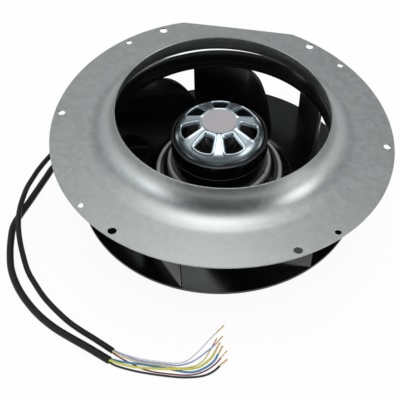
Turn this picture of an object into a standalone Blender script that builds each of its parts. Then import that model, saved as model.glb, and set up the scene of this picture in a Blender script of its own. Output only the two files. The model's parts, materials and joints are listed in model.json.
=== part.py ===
"""Plug fan: a backward-curved impeller on an external-rotor motor, with a loose inlet ring.

The origin is the centre of the motor's mounting face, which stands on the floor at z = 0.
The impeller turns about +Z. The inlet ring's straight side faces +Y. Lengths are metres.
"""

from math import acos, cos, pi, radians, sin, sqrt, tan

import bmesh
import bpy
from mathutils import Matrix, Quaternion, Vector

COLLECTION = "plug_fan"
CUTTERS = "cutters"
MERGE = 0.00001
GAP = 0.0003  # between pieces that touch on the real fan
OVERSHOOT = 0.001  # how far a cut or a joined piece reaches past the face it meets

# Facets round a full turn.
WIDE_STEPS = 36
ROTOR_STEPS = 28
WINDING_STEPS = 20
SMALL_STEPS = 12
PIN_STEPS = 8
ARC_STEP = radians(60)
FINE_ARC_STEP = radians(28)

# Motor base: a die-cast housing, open underneath and closed by a cover flush with its face.
BASE_RADIUS = 0.057
BASE_WALL = 0.003
BASE_SHOULDER_Z = 0.034
BASE_TOP_Z = 0.041
BASE_TOP_WIDTH = 0.050
BASE_FLOOR = 0.0045
LEDGE_RADIUS = 0.034
LEDGE_Z = 0.0023
STATOR_SEAT_RADIUS = 0.018
MOUNT_HOLE_COUNT = 4
MOUNT_HOLE_CIRCLE = 0.049
MOUNT_HOLE_RADIUS = 0.0021
MOUNT_HOLE_DEPTH = 0.012
MOUNT_BOSS_RADIUS = 0.0055
MOUNT_BOSS_TOP = 0.016
RIB_COUNT = 20
RIB_DEPTH = 0.003
RIB_WIDTH = 0.0016
RIB_BOTTOM_Z = 0.004
RIB_TOP_Z = 0.024
RIB_FREE_ANGLE = radians(9)

COVER_RADIUS = 0.042
COVER_PLATE = 0.002
COVER_SCREW_COUNT = 4
COVER_SCREW_CIRCLE = 0.038
COVER_SCREW_ANGLE = radians(45)
SCREW_RADIUS = 0.0014
SCREW_HEAD_RADIUS = 0.0029
SCREW_LENGTH = 0.008
SCREW_BOSS_RADIUS = 0.0036
SCREW_BOSS_ROOF = 0.002
SCREW_HEAD_SINK = 0.0002
POST_COUNT = 3
POST_CIRCLE = 0.028
POST_RADIUS = 0.0025

BOARD_RADIUS = 0.0325
BOARD_Z = 0.008
BOARD_THICKNESS = 0.0016
CAPACITOR_RADIUS = 0.0065
CAPACITOR_HEIGHT = 0.019
CAPACITOR_CIRCLE = 0.024
CAPACITOR_ANGLE = radians(70)
CHOKE_SIZE = (0.013, 0.010, 0.011)
CHOKE_PLACE = (0.022, -0.004)
TERMINAL_SIZE = (0.009, 0.018, 0.009)
TERMINAL_PLACE = (-0.024, 0.004)

# Shaft, bearings and the tube that carries them.
SHAFT_RADIUS = 0.004
SHAFT_BOTTOM_Z = 0.014
TUBE_INNER_RADIUS = 0.011
TUBE_WALL = 0.003
TUBE_BOTTOM_Z = 0.018
TUBE_TOP_Z = 0.084
TUBE_FLANGE_RADIUS = 0.017
TUBE_FLANGE_HEIGHT = 0.003
BEARING_WIDTH = 0.007
BEARING_RIM = 0.0012
BEARING_SHIELD_SINK = 0.0005
LOWER_BEARING_Z = 0.020
UPPER_BEARING_Z = 0.0765
TUBE_SHOULDER = 0.0018
CLIP_THICKNESS = 0.001
CLIP_RADIUS = 0.0062
CLIP_GROOVE = 0.0005

# Stator.
STATOR_Z = 0.056
STATOR_HEIGHT = 0.0217
STATOR_RADIUS = 0.0384
STATOR_YOKE_RADIUS = 0.020
TOOTH_COUNT = 12
TOOTH_NECK = 0.0052
TOOTH_TIP_DEPTH = 0.0026
TOOTH_SLOPE = 0.001
TOOTH_TIP_SHARE = 0.84
WINDING_INNER = 0.0195
WINDING_OUTER = 0.0360
WINDING_HEIGHT = 0.0092

# Impeller back plate, heights counted from the plate's underside.
PLATE_Z = 0.026
IMPELLER_RADIUS = 0.140
PLATE_WALL = 0.0025
DISH_FOOT_RADIUS = 0.0755
SHELF_RADIUS = 0.0625
SHELF_RISE = 0.0202
STEP_FOOT_RADIUS = 0.054
STEP_RADIUS = 0.0508
STEP_RISE = 0.0332
NECK_FOOT_RADIUS = 0.0474
NECK_RISE = 0.0488
VENT_CIRCLE = 0.0486
VENT_RADIUS = 0.0010
VENT_ANGLE = radians(-19)

# Rotor can, heights counted from the plate's underside.
CAN_RADIUS = 0.0439
CAN_WALL = 0.002
CAN_BOTTOM_RISE = 0.022
CAN_SHOULDER_RISE = 0.0670
CAN_SLOPE_TOP = (0.0335, 0.0764)
CAN_TOP_RISE = 0.082
PLATEAU_RADIUS = 0.0185
WINDOW_COUNT = 7
WINDOW_ANGLE = radians(95.0)
WINDOW_INNER = 0.0190
WINDOW_OUTER = 0.0380
WINDOW_HALF_ANGLE = radians(17)
WINDOW_CORNER = 0.0028
WINDOW_LIP = 0.0012
WINDOW_LIP_RISE = 0.0006
WINDOW_DRAW = 0.0045
COLLAR_INNER_GAP = GAP
COLLAR_WALL = 0.0025
COLLAR_TOP_RISE = 0.066
COLLAR_BEAD = 0.0004
COLLAR_BEAD_HEIGHT = 0.0012
LABEL_RADIUS = 0.0165
LABEL_THICKNESS = 0.0005
MAGNET_RADIAL_GAP = 0.0008
MAGNET_BOTTOM_Z = 0.052
MAGNET_TOP_Z = 0.082
BUSH_RADIUS = 0.013
BUSH_HEAD = 0.0045
BUSH_NECK = 0.009
BUSH_CLEARANCE = 0.001

# Cover ring (shroud) of the impeller, heights counted from the plate's underside.
EYE_RADIUS = 0.104
COVER_WALL = 0.002
EYE_COLLAR_TOP = 0.0825
EYE_RIM_ROUND = 0.0006
EYE_BEND_RADIUS = 0.007
EYE_BEND_RISE = 0.0596
OUTLET_RISE = 0.0530

BLADE_COUNT = 7
BLADE_TIP_ANGLE = radians(108.1)
BLADE_WRAP = radians(52.6)
BLADE_ROOT_RADIUS = 0.084
BLADE_SHROUD_RADIUS = 0.108
BLADE_TIP_INSET = 0.0010
BLADE_ROOT_HEIGHT = 0.012
BLADE_THICKNESS = 0.0026
BLADE_EDGE_THICKNESS = 0.0013
BLADE_SWEEP = 1.15  # higher keeps the inner end of the upper edge low for longer
BLADE_STATIONS = 13

# Inlet ring, in its own frame with z = 0 on the face of the flange that looks down.
RING_RADIUS = 0.163
RING_WALL = 0.0012
RING_FLAT_DEPTH = 0.011  # cut off the rim on one side
THROAT_RADIUS = 0.100
BELL_RADIUS = 0.0276
THROAT_LIP = 0.0010
BELL_STEPS = 4
HOLE_EDGE_DISTANCE = 0.0065
LARGE_HOLES = (0.0040, (60, 120, 240, 300))
SMALL_HOLES = (0.0030, (45, 135, 225, 315))
SIDE_HOLES = (0.0034, (0, 180))
RING_LEAN = radians(2.04)
RING_LEAN_TOWARDS = radians(-16.2)

# Cables. Routes are in millimetres, chosen by hand.
MM = 0.001
GLAND_Z = 0.0086
GLAND_REACH = 0.024
GLAND_FLANGE = 0.005
GLAND_FLANGE_WIDTH = 0.0030
GLAND_FOOT_WALL = 0.0018
GLAND_END_WALL = 0.0006
GLAND_BITE = 0.0008
MAINS_ANGLE = radians(158)
SIGNAL_ANGLE = radians(141)
MAINS_DIAMETER = 0.0070
SIGNAL_DIAMETER = 0.0055
MAINS_CORE_DIAMETER = 0.0020
SIGNAL_CORE_DIAMETER = 0.0014
MAINS_TIP_DIAMETER = 0.0017
SIGNAL_TIP_DIAMETER = 0.0013
TIP_LENGTH = 0.0095
CORE_SPACING = 0.0085
CABLE_SPACING = 2.8  # cable diameters
CABLE_STRAIGHT = 0.007

MAINS_ROUTE = (
    (-92, 36.5, 6.6), (-110, 42.5, 4.2), (-129, 45.5, 3.6), (-150, 44, 3.6), (-169, 35, 3.6),
    (-182, 20, 3.6), (-187, 2, 3.6), (-191, -15, 3.6), (-195, -32, 3.6), (-200, -52, 3.6),
    (-202.5, -68, 3.6), (-199.5, -87, 3.6), (-195, -104, 3.6), (-189, -120, 3.6),
    (-180, -135, 3.6), (-169, -148.5, 3.6), (-156, -161, 3.6), (-143, -171, 3.6),
    (-128, -180, 3.6), (-111, -188, 3.6), (-94, -195.5, 3.6), (-74, -205, 3.6),
)
SIGNAL_ROUTE = (
    (-76, 61, 6.6), (-92, 71, 3.8), (-110, 80, 2.9), (-131, 84, 2.9), (-152, 79, 2.9),
    (-171, 66, 2.9), (-184, 50, 2.9), (-192, 33, 2.9), (-198, 15, 3.0), (-201, -2, 4.2),
    (-202, -18, 7.0), (-201, -33, 9.8), (-200, -47, 10.7), (-198, -60, 10.4), (-195.5, -71, 7.6),
    (-191, -84, 4.2), (-184, -99, 2.9), (-173, -119, 2.9), (-161, -134, 2.9), (-149, -147, 2.9),
    (-135, -159, 2.9), (-120, -170, 2.9), (-107, -177.5, 2.9), (-90, -186, 2.9), (-73, -195, 2.9),
)
CORE_ROUTES = {
    "core_black": (MAINS_CORE_DIAMETER, (
        (-73.8, -206.4, 2.6), (-66, -209, 2.0), (-52, -211, 1.2), (-38, -212.2, 1.2), (-24, -212.6, 1.2),
        (-10, -212.4, 1.2), (3, -210.6, 1.2), (12, -207.6, 1.2), (18.5, -203, 1.2), (23, -197.6, 1.2))),
    "core_green_yellow": (MAINS_CORE_DIAMETER, (
        (-73.9, -205.6, 5.0), (-63, -207.4, 3.9), (-52, -208.4, 3.3), (-42, -208.2, 3.1), (-32, -207.6, 3.0),
        (-22, -207.0, 3.4), (-12, -206.0, 3.8), (-3, -204.2, 2.6), (5, -200.6, 1.2), (11, -195.2, 1.2),
        (15.4, -189.4, 1.2), (17.6, -183.4, 1.2))),
    "core_blue": (MAINS_CORE_DIAMETER, (
        (-72.4, -203.6, 3.4), (-63, -204.8, 3.3), (-52, -205.0, 3.1), (-42, -204.9, 2.6), (-30, -205.0, 1.3),
        (-20, -205.7, 1.2), (-12, -206.5, 1.2), (-3, -206.7, 1.2), (5, -204.4, 1.2), (13, -198.6, 1.2),
        (18, -192.4, 1.2), (20.4, -186.2, 1.2))),
    "core_red": (SIGNAL_CORE_DIAMETER, (
        (-73.3, -196.2, 1.9), (-66, -199.8, 1.2), (-58, -203.0, 0.9), (-51, -205.6, 0.9), (-44, -208.2, 0.9),
        (-34, -209.9, 0.9), (-22, -210.2, 0.9), (-10, -210.0, 0.9), (-1, -208.9, 0.9), (7, -206.0, 0.9),
        (14, -201.2, 0.9), (19.5, -195.2, 0.9), (23, -189.6, 0.9))),
    "core_yellow": (SIGNAL_CORE_DIAMETER, (
        (-73.1, -195.8, 3.9), (-64, -199.0, 2.4), (-52, -201.6, 1.0), (-40, -202.8, 0.9), (-26, -203.0, 0.9),
        (-13, -203.6, 0.9), (-3, -201.6, 0.9), (4, -198.0, 0.9), (9, -192.2, 0.9), (11.8, -186.0, 0.9),
        (14.2, -179.2, 0.9))),
    "core_light_blue": (SIGNAL_CORE_DIAMETER, (
        (-72.3, -194.4, 3.9), (-64, -197.2, 2.4), (-52, -199.9, 1.0), (-40, -201.1, 0.9), (-26, -201.3, 0.9),
        (-14, -201.2, 0.9), (-4, -197.6, 1.0), (3, -192.6, 1.6), (9, -187.0, 2.9), (14, -181.2, 2.8),
        (17.4, -176.0, 1.8))),
    "core_white": (SIGNAL_CORE_DIAMETER, (
        (-72.4, -194.3, 1.9), (-64, -195.8, 1.2), (-52, -198.1, 0.9), (-40, -199.3, 0.9), (-26, -199.6, 0.9),
        (-15, -199.2, 0.9), (-6, -195.4, 0.9), (1.4, -187.0, 0.9), (7.2, -178.2, 0.9), (12.0, -170.6, 0.9),
        (16.8, -163.8, 0.9))),
}

FINISHES = {
    "galvanised": ((0.42, 0.44, 0.45), 0.42, 0.9),
    "zinc": ((0.62, 0.68, 0.72), 0.22, 1.0),
    "black_paint": ((0.012, 0.012, 0.013), 0.25, 0.0),
    "cast_aluminium": ((0.55, 0.56, 0.57), 0.5, 0.9),
    "steel": ((0.55, 0.55, 0.56), 0.3, 1.0),
    "lamination": ((0.18, 0.18, 0.19), 0.55, 0.7),
    "winding": ((0.45, 0.17, 0.06), 0.4, 0.3),
    "magnet": ((0.05, 0.05, 0.055), 0.6, 0.3),
    "board": ((0.03, 0.16, 0.07), 0.5, 0.0),
    "label": ((0.62, 0.60, 0.63), 0.35, 0.0),
    "rubber": ((0.02, 0.02, 0.02), 0.55, 0.0),
    "copper": ((0.60, 0.36, 0.16), 0.35, 1.0),
    "red": ((0.30, 0.03, 0.03), 0.45, 0.0),
    "yellow": ((0.80, 0.66, 0.30), 0.45, 0.0),
    "blue": ((0.06, 0.22, 0.48), 0.45, 0.0),
    "light_blue": ((0.24, 0.30, 0.62), 0.45, 0.0),
    "white": ((0.80, 0.80, 0.80), 0.45, 0.0),
    "green_yellow": ((0.52, 0.60, 0.12), 0.45, 0.0),
    "black": ((0.015, 0.015, 0.015), 0.45, 0.0),
}


def clear_scene():
    for obj in list(bpy.data.objects):
        bpy.data.objects.remove(obj)


def collection(name):
    found = bpy.data.collections.get(name)
    if found is None:
        found = bpy.data.collections.new(name)
        bpy.context.scene.collection.children.link(found)
    return found


def finish(name):
    """Principled material with the finish's colour, roughness and metallic value."""
    material = bpy.data.materials.get(name)
    if material is None:
        colour, roughness, metallic = FINISHES[name]
        material = bpy.data.materials.new(name)
        material.use_nodes = True
        shader = material.node_tree.nodes["Principled BSDF"]
        shader.inputs["Base Color"].default_value = (*colour, 1.0)
        shader.inputs["Roughness"].default_value = roughness
        shader.inputs["Metallic"].default_value = metallic
    return material


def piece(name, mesh, finish_name, parent=None):
    """Places a mesh in the fan's collection as one named piece."""
    obj = bpy.data.objects.new(name, mesh)
    collection(COLLECTION).objects.link(obj)
    obj.parent = parent
    if mesh.materials:
        mesh.materials.clear()
    mesh.materials.append(finish(finish_name))
    return obj


def cutter(name, mesh, parent=None):
    """Places a mesh as a hidden helper for Boolean modifiers."""
    obj = bpy.data.objects.new(name, mesh)
    collection(CUTTERS).objects.link(obj)
    obj.parent = parent
    obj.hide_render = True
    obj.display_type = "WIRE"
    return obj


def boolean(obj, operation, other):
    modifier = obj.modifiers.new(other.name, "BOOLEAN")
    modifier.operation = operation
    modifier.object = other
    modifier.solver = "EXACT"
    return obj


def rounded(corners, arc_step=ARC_STEP):
    """Path through (r, z, radius) corners, with each corner that has a radius rounded."""
    path = []
    for index, (r, z, radius) in enumerate(corners):
        if radius <= 0 or index in (0, len(corners) - 1):
            path.append((r, z))
            continue
        here = Vector((r, z))
        before = (Vector(corners[index - 1][:2]) - here).normalized()
        after = (Vector(corners[index + 1][:2]) - here).normalized()
        half = acos(max(-1.0, min(1.0, before.dot(after)))) / 2
        centre = here + (before + after).normalized() * (radius / sin(half))
        start = here + before * (radius / tan(half)) - centre
        bend = pi - 2 * half
        steps = max(1, round(bend / arc_step))
        if after.cross(before) < 0:
            bend = -bend
        for step in range(steps + 1):
            point = centre + Matrix.Rotation(bend * step / steps, 2) @ start
            path.append((point.x, point.y))
    return path


def offset(path, distance):
    """The path moved to its left by the distance, with mitred corners."""
    moved = []
    for index, (r, z) in enumerate(path):
        sides = []
        if index > 0:
            sides.append(Vector((r - path[index - 1][0], z - path[index - 1][1])).normalized())
        if index < len(path) - 1:
            sides.append(Vector((path[index + 1][0] - r, path[index + 1][1] - z)).normalized())
        normals = [Vector((-side.y, side.x)) for side in sides]
        mitre = sum(normals, Vector((0, 0))).normalized()
        reach = distance / mitre.dot(normals[0])
        moved.append((r + mitre.x * reach, z + mitre.y * reach))
    return moved


def wall(path, thickness):
    """Closed section of a wall that lies to the path's left."""
    return path + offset(path, thickness)[::-1]


def raised(points, height):
    """Section points moved up by a height."""
    return [(point[0], point[1] + height, *point[2:]) for point in points]


def profile_mesh(name, points, closed):
    """Edge loop in the XZ plane that a Screw turns with its faces looking out."""
    area = sum(a[0] * b[1] - b[0] * a[1] for a, b in zip(points, points[1:] + points[:1]))
    if area > 0:
        points = points[::-1]
    mesh = bpy.data.meshes.new(name)
    edges = [(i, i + 1) for i in range(len(points) - 1)]
    if closed:
        edges.append((len(points) - 1, 0))
    mesh.from_pydata([(r, 0, z) for r, z in points], edges, [])
    return mesh


def turn(obj, steps):
    """Adds the Screw modifier that turns a profile about Z."""
    screw = obj.modifiers.new("Turn", "SCREW")
    screw.steps = screw.render_steps = steps
    screw.use_merge_vertices = True
    screw.merge_threshold = MERGE
    screw.use_smooth_shade = True
    return obj


def turned(name, points, finish_name, parent=None, steps=ROTOR_STEPS, closed=True):
    return turn(piece(name, profile_mesh(name, points, closed), finish_name, parent), steps)


def turned_cutter(name, points, parent=None, steps=ROTOR_STEPS):
    return turn(cutter(name, profile_mesh(name, points, True), parent), steps)


def prisms_mesh(name, outlines, bottom, top):
    """Upright prisms, one for each anticlockwise outline of (x, y) points."""
    bm = bmesh.new()
    for outline in outlines:
        base = bm.faces.new([bm.verts.new((x, y, bottom)) for x, y in outline])
        raised_faces = bmesh.ops.extrude_face_region(bm, geom=[base])
        moved = [item for item in raised_faces["geom"] if isinstance(item, bmesh.types.BMVert)]
        bmesh.ops.translate(bm, verts=moved, vec=(0, 0, top - bottom))
    bmesh.ops.recalc_face_normals(bm, faces=bm.faces)
    mesh = bpy.data.meshes.new(name)
    bm.to_mesh(mesh)
    bm.free()
    return mesh


def rods_mesh(name, places, radius, bottom, top, steps=SMALL_STEPS):
    """Upright cylinders of one radius at the (x, y) places."""
    bm = bmesh.new()
    for x, y in places:
        centre = Matrix.Translation((x, y, (bottom + top) / 2))
        bmesh.ops.create_cone(bm, cap_ends=True, segments=steps, radius1=radius, radius2=radius,
                              depth=top - bottom, matrix=centre)
    mesh = bpy.data.meshes.new(name)
    bm.to_mesh(mesh)
    bm.free()
    return mesh


def box_mesh(name, size, centre):
    bm = bmesh.new()
    bmesh.ops.create_cube(bm, size=1, matrix=Matrix.Translation(centre) @ Matrix.Diagonal((*size, 1)))
    mesh = bpy.data.meshes.new(name)
    bm.to_mesh(mesh)
    bm.free()
    return mesh


def on_circle(radius, angle):
    return radius * cos(angle), radius * sin(angle)


def around(count, radius, start=0.0):
    """Places spread evenly round a circle."""
    return [on_circle(radius, start + 2 * pi * i / count) for i in range(count)]


def drill(obj, name, places, radius, bottom, top, parent=None, steps=SMALL_STEPS):
    """Cuts round holes through a piece."""
    rods = rods_mesh(name, places, radius, bottom, top, steps)
    return boolean(obj, "DIFFERENCE", cutter(name, rods, parent))


def empty(name, location=(0, 0, 0), rotation=None):
    obj = bpy.data.objects.new(name, None)
    collection(COLLECTION).objects.link(obj)
    obj.location = location
    if rotation is not None:
        obj.rotation_mode = "QUATERNION"
        obj.rotation_quaternion = rotation
    return obj


def make_base():
    """Die-cast motor base with ribs, bosses, blind mounting holes and a seat for the stator."""
    inner = BASE_RADIUS - BASE_WALL
    bore = TUBE_INNER_RADIUS + TUBE_WALL + GAP
    roof = BASE_TOP_Z - BASE_WALL
    section = rounded([
        (BASE_RADIUS, 0, 0), (BASE_RADIUS, BASE_SHOULDER_Z, 0.003), (BASE_TOP_WIDTH, BASE_TOP_Z, 0.002),
        (STATOR_SEAT_RADIUS, BASE_TOP_Z, 0), (STATOR_SEAT_RADIUS, STATOR_Z - GAP, 0),
        (bore, STATOR_Z - GAP, 0), (bore, roof, 0), (BASE_TOP_WIDTH - BASE_WALL, roof, 0),
        (inner, BASE_SHOULDER_Z - BASE_WALL / 2, 0), (inner, BASE_FLOOR, 0), (LEDGE_RADIUS, BASE_FLOOR, 0),
        (LEDGE_RADIUS, LEDGE_Z, 0), (COVER_RADIUS + GAP, LEDGE_Z, 0), (COVER_RADIUS + GAP, 0, 0)])
    base = turned("motor_base", section, "cast_aluminium")
    mounts = around(MOUNT_HOLE_COUNT, MOUNT_HOLE_CIRCLE)
    bosses = rods_mesh("mount_bosses", mounts, MOUNT_BOSS_RADIUS, BASE_FLOOR / 2, MOUNT_BOSS_TOP, PIN_STEPS)
    boolean(base, "UNION", cutter("mount_bosses", bosses))
    screws = around(COVER_SCREW_COUNT, COVER_SCREW_CIRCLE, COVER_SCREW_ANGLE)
    screw_bosses = rods_mesh("screw_bosses", screws, SCREW_BOSS_RADIUS, BASE_FLOOR - OVERSHOOT,
                             SCREW_LENGTH + SCREW_BOSS_ROOF, PIN_STEPS)
    boolean(base, "UNION", cutter("screw_bosses", screw_bosses))
    boolean(base, "UNION", cutter("cooling_ribs", ribs_mesh()))
    reach = BASE_WALL + RIB_DEPTH + OVERSHOOT
    for name, angle, diameter in cable_exits():
        hole = cutter(f"{name}_hole", rods_mesh(name, [(0, 0)], diameter / 2, -reach, reach, PIN_STEPS))
        lay_outward(hole, angle, inner)
        boolean(base, "DIFFERENCE", hole)
    drill(base, "mount_holes", mounts, MOUNT_HOLE_RADIUS, -OVERSHOOT, MOUNT_HOLE_DEPTH, steps=PIN_STEPS)
    drill(base, "screw_holes", screws, SCREW_RADIUS + GAP, LEDGE_Z - OVERSHOOT, SCREW_LENGTH + GAP,
          steps=PIN_STEPS)
    return base


def ribs_mesh():
    """Upright cooling ribs round the base, none where the cable glands stand."""
    bm = bmesh.new()
    for index in range(RIB_COUNT):
        angle = 2 * pi * (index + 0.5) / RIB_COUNT
        if any(abs(angle - gland) < RIB_FREE_ANGLE for _, gland, _ in cable_exits()):
            continue
        root = BASE_RADIUS - BASE_WALL / 2
        size = Matrix.Diagonal((BASE_RADIUS + RIB_DEPTH - root, RIB_WIDTH, RIB_TOP_Z - RIB_BOTTOM_Z, 1))
        place = Matrix.Translation(((BASE_RADIUS + RIB_DEPTH + root) / 2, 0, (RIB_TOP_Z + RIB_BOTTOM_Z) / 2))
        bmesh.ops.create_cube(bm, size=1, matrix=Matrix.Rotation(angle, 4, "Z") @ place @ size)
    mesh = bpy.data.meshes.new("cooling_ribs")
    bm.to_mesh(mesh)
    bm.free()
    return mesh


def cable_exits():
    """Name, direction and cable diameter of the two cable outlets."""
    return (("mains", MAINS_ANGLE, MAINS_DIAMETER), ("signal", SIGNAL_ANGLE, SIGNAL_DIAMETER))


def lay_outward(obj, angle, radius):
    """Lays an upright piece down so that its Z axis leaves the base at the given angle."""
    x, y = on_circle(radius, angle)
    obj.location = (x, y, GLAND_Z)
    obj.rotation_euler = (0, pi / 2, angle)


def make_glands():
    """Tapered rubber strain reliefs where the cables leave the base."""
    for name, angle, diameter in cable_exits():
        cable = diameter / 2
        bore = cable - GLAND_BITE
        section = [
            (bore, GLAND_REACH), (cable + GLAND_END_WALL, GLAND_REACH),
            (cable + GLAND_FOOT_WALL, GLAND_FLANGE), (cable + GLAND_FLANGE_WIDTH, GLAND_FLANGE),
            (cable + GLAND_FLANGE_WIDTH, GAP), (bore, GAP)]
        gland = turned(f"{name}_gland", section, "black", steps=SMALL_STEPS)
        lay_outward(gland, angle, BASE_RADIUS)


def make_electronics():
    """Cover plate with posts, the circuit board on them, and the cover's screws."""
    plate = rods_mesh("electronics_cover", [(0, 0)], COVER_RADIUS, 0, COVER_PLATE, ROTOR_STEPS)
    cover = piece("electronics_cover", plate, "cast_aluminium")
    post_places = around(POST_COUNT, POST_CIRCLE)
    posts = rods_mesh("board_posts", post_places, POST_RADIUS, COVER_PLATE / 2, BOARD_Z - GAP, PIN_STEPS)
    boolean(cover, "UNION", cutter("board_posts", posts))
    screws = around(COVER_SCREW_COUNT, COVER_SCREW_CIRCLE, COVER_SCREW_ANGLE)
    sinks = bmesh.new()
    for x, y in screws:
        bmesh.ops.create_cone(sinks, cap_ends=True, segments=PIN_STEPS, radius1=SCREW_HEAD_RADIUS + 2 * GAP,
                              radius2=SCREW_RADIUS + GAP, depth=COVER_PLATE + 2 * SCREW_HEAD_SINK,
                              matrix=Matrix.Translation((x, y, COVER_PLATE / 2)))
    sink_mesh = bpy.data.meshes.new("countersinks")
    sinks.to_mesh(sink_mesh)
    sinks.free()
    boolean(cover, "DIFFERENCE", cutter("countersinks", sink_mesh))

    board_top = BOARD_Z + BOARD_THICKNESS
    disc = rods_mesh("circuit_board", [(0, 0)], BOARD_RADIUS, BOARD_Z, board_top, ROTOR_STEPS)
    board = piece("circuit_board", disc, "board")
    root = board_top - BOARD_THICKNESS / 3
    places = around(2, CAPACITOR_CIRCLE, CAPACITOR_ANGLE)
    capacitors = rods_mesh("capacitors", places, CAPACITOR_RADIUS, root, board_top + CAPACITOR_HEIGHT)
    boolean(board, "UNION", cutter("capacitors", capacitors))
    blocks = (("choke", CHOKE_SIZE, CHOKE_PLACE), ("terminal", TERMINAL_SIZE, TERMINAL_PLACE))
    for name, size, place in blocks:
        block = box_mesh(name, size, (*place, root + size[2] / 2))
        boolean(board, "UNION", cutter(name, block))

    screw_section = [(0, SCREW_HEAD_SINK), (SCREW_HEAD_RADIUS, SCREW_HEAD_SINK),
                     (SCREW_RADIUS, COVER_PLATE - SCREW_HEAD_SINK), (SCREW_RADIUS, SCREW_LENGTH),
                     (0, SCREW_LENGTH)]
    for index, (x, y) in enumerate(screws):
        screw = turned(f"cover_screw_{index + 1}", screw_section, "steel", steps=PIN_STEPS, closed=False)
        screw.location = (x, y, 0)


def make_bearing_tube():
    """Tube that carries the bearings inside and the stator outside, with a flange under the base's roof."""
    outer = TUBE_INNER_RADIUS + TUBE_WALL
    roof = BASE_TOP_Z - BASE_WALL
    narrow = TUBE_INNER_RADIUS - TUBE_SHOULDER
    stop_low = LOWER_BEARING_Z + BEARING_WIDTH + GAP
    stop_high = UPPER_BEARING_Z - GAP
    section = [
        (outer, TUBE_TOP_Z), (outer, roof - GAP), (TUBE_FLANGE_RADIUS, roof - GAP),
        (TUBE_FLANGE_RADIUS, roof - GAP - TUBE_FLANGE_HEIGHT), (outer, roof - GAP - TUBE_FLANGE_HEIGHT),
        (outer, TUBE_BOTTOM_Z), (TUBE_INNER_RADIUS, TUBE_BOTTOM_Z),
        (TUBE_INNER_RADIUS, stop_low), (narrow, stop_low), (narrow, stop_high),
        (TUBE_INNER_RADIUS, stop_high), (TUBE_INNER_RADIUS, TUBE_TOP_Z)]
    turned("bearing_tube", section, "steel", steps=SMALL_STEPS)


def make_bearings():
    """Two shielded ball bearings between the shaft and the tube."""
    inner = SHAFT_RADIUS + GAP
    outer = TUBE_INNER_RADIUS - GAP
    shield = BEARING_SHIELD_SINK
    for name, z in (("bearing_lower", LOWER_BEARING_Z), ("bearing_upper", UPPER_BEARING_Z)):
        top = z + BEARING_WIDTH
        section = [
            (inner, top), (inner + BEARING_RIM, top), (inner + BEARING_RIM, top - shield),
            (outer - BEARING_RIM, top - shield), (outer - BEARING_RIM, top), (outer, top), (outer, z),
            (outer - BEARING_RIM, z), (outer - BEARING_RIM, z + shield), (inner + BEARING_RIM, z + shield),
            (inner + BEARING_RIM, z), (inner, z)]
        turned(name, section, "steel", steps=SMALL_STEPS)


def tooth_outline():
    """Outline of the stator lamination: a yoke with T-shaped teeth."""
    pitch = 2 * pi / TOOTH_COUNT
    tip_half = pitch * TOOTH_TIP_SHARE / 2
    shoe = STATOR_RADIUS - TOOTH_TIP_DEPTH
    neck_half = TOOTH_NECK / 2
    flank = ((STATOR_YOKE_RADIUS, neck_half / STATOR_YOKE_RADIUS), (shoe - TOOTH_SLOPE, neck_half / shoe),
             (shoe, tip_half), (STATOR_RADIUS, tip_half))
    outline = []
    for tooth in range(TOOTH_COUNT):
        centre = tooth * pitch
        outline += [on_circle(radius, centre - half) for radius, half in flank]
        outline.append(on_circle(STATOR_RADIUS, centre))
        outline += [on_circle(radius, centre + half) for radius, half in reversed(flank)]
    return outline


def make_stator():
    """Laminated core on the bearing tube, with the end turns of its winding above and below."""
    top = STATOR_Z + STATOR_HEIGHT
    core = piece("stator_core", prisms_mesh("stator_core", [tooth_outline()], STATOR_Z, top), "lamination")
    bore = TUBE_INNER_RADIUS + TUBE_WALL + GAP
    drill(core, "stator_bore", [(0, 0)], bore, STATOR_Z - OVERSHOOT, top + OVERSHOOT)
    round_edge = WINDING_HEIGHT / 3
    for name, low in (("winding_lower", STATOR_Z - GAP - WINDING_HEIGHT), ("winding_upper", top + GAP)):
        high = low + WINDING_HEIGHT
        start = ((WINDING_INNER + WINDING_OUTER) / 2, high, 0)
        section = rounded([
            start, (WINDING_OUTER, high, round_edge), (WINDING_OUTER, low, round_edge),
            (WINDING_INNER, low, round_edge), (WINDING_INNER, high, round_edge), start], 2 * ARC_STEP)
        turned(name, section[1:-1], "winding", steps=WINDING_STEPS)


def make_shaft(rotor):
    """Shaft with a groove for its retaining ring, the ring, and the bush that holds the can."""
    top = PLATE_Z + CAN_TOP_RISE - CAN_WALL - GAP
    groove = SHAFT_RADIUS - CLIP_GROOVE
    high = LOWER_BEARING_Z
    low = high - CLIP_THICKNESS - 2 * GAP
    section = [(0, top), (SHAFT_RADIUS, top), (SHAFT_RADIUS, high), (groove, high), (groove, low),
               (SHAFT_RADIUS, low), (SHAFT_RADIUS, SHAFT_BOTTOM_Z), (0, SHAFT_BOTTOM_Z)]
    turned("shaft", section, "steel", rotor, SMALL_STEPS, closed=False)
    clip_inner = groove + GAP
    clip = [(clip_inner, low + GAP), (CLIP_RADIUS, low + GAP), (CLIP_RADIUS, high - GAP),
            (clip_inner, high - GAP)]
    turned("retaining_ring", clip, "steel", rotor, SMALL_STEPS)
    race = SHAFT_RADIUS + GAP + BEARING_RIM
    seat = UPPER_BEARING_Z + BEARING_WIDTH + GAP
    bore = SHAFT_RADIUS + GAP
    foot = TUBE_TOP_Z + BUSH_CLEARANCE
    bush = [(bore, top), (BUSH_RADIUS, top), (BUSH_RADIUS, top - BUSH_HEAD), (BUSH_NECK, top - BUSH_HEAD),
            (BUSH_NECK, foot), (race, foot), (race, seat), (bore, seat)]
    turned("shaft_bush", bush, "steel", rotor, SMALL_STEPS)


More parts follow.
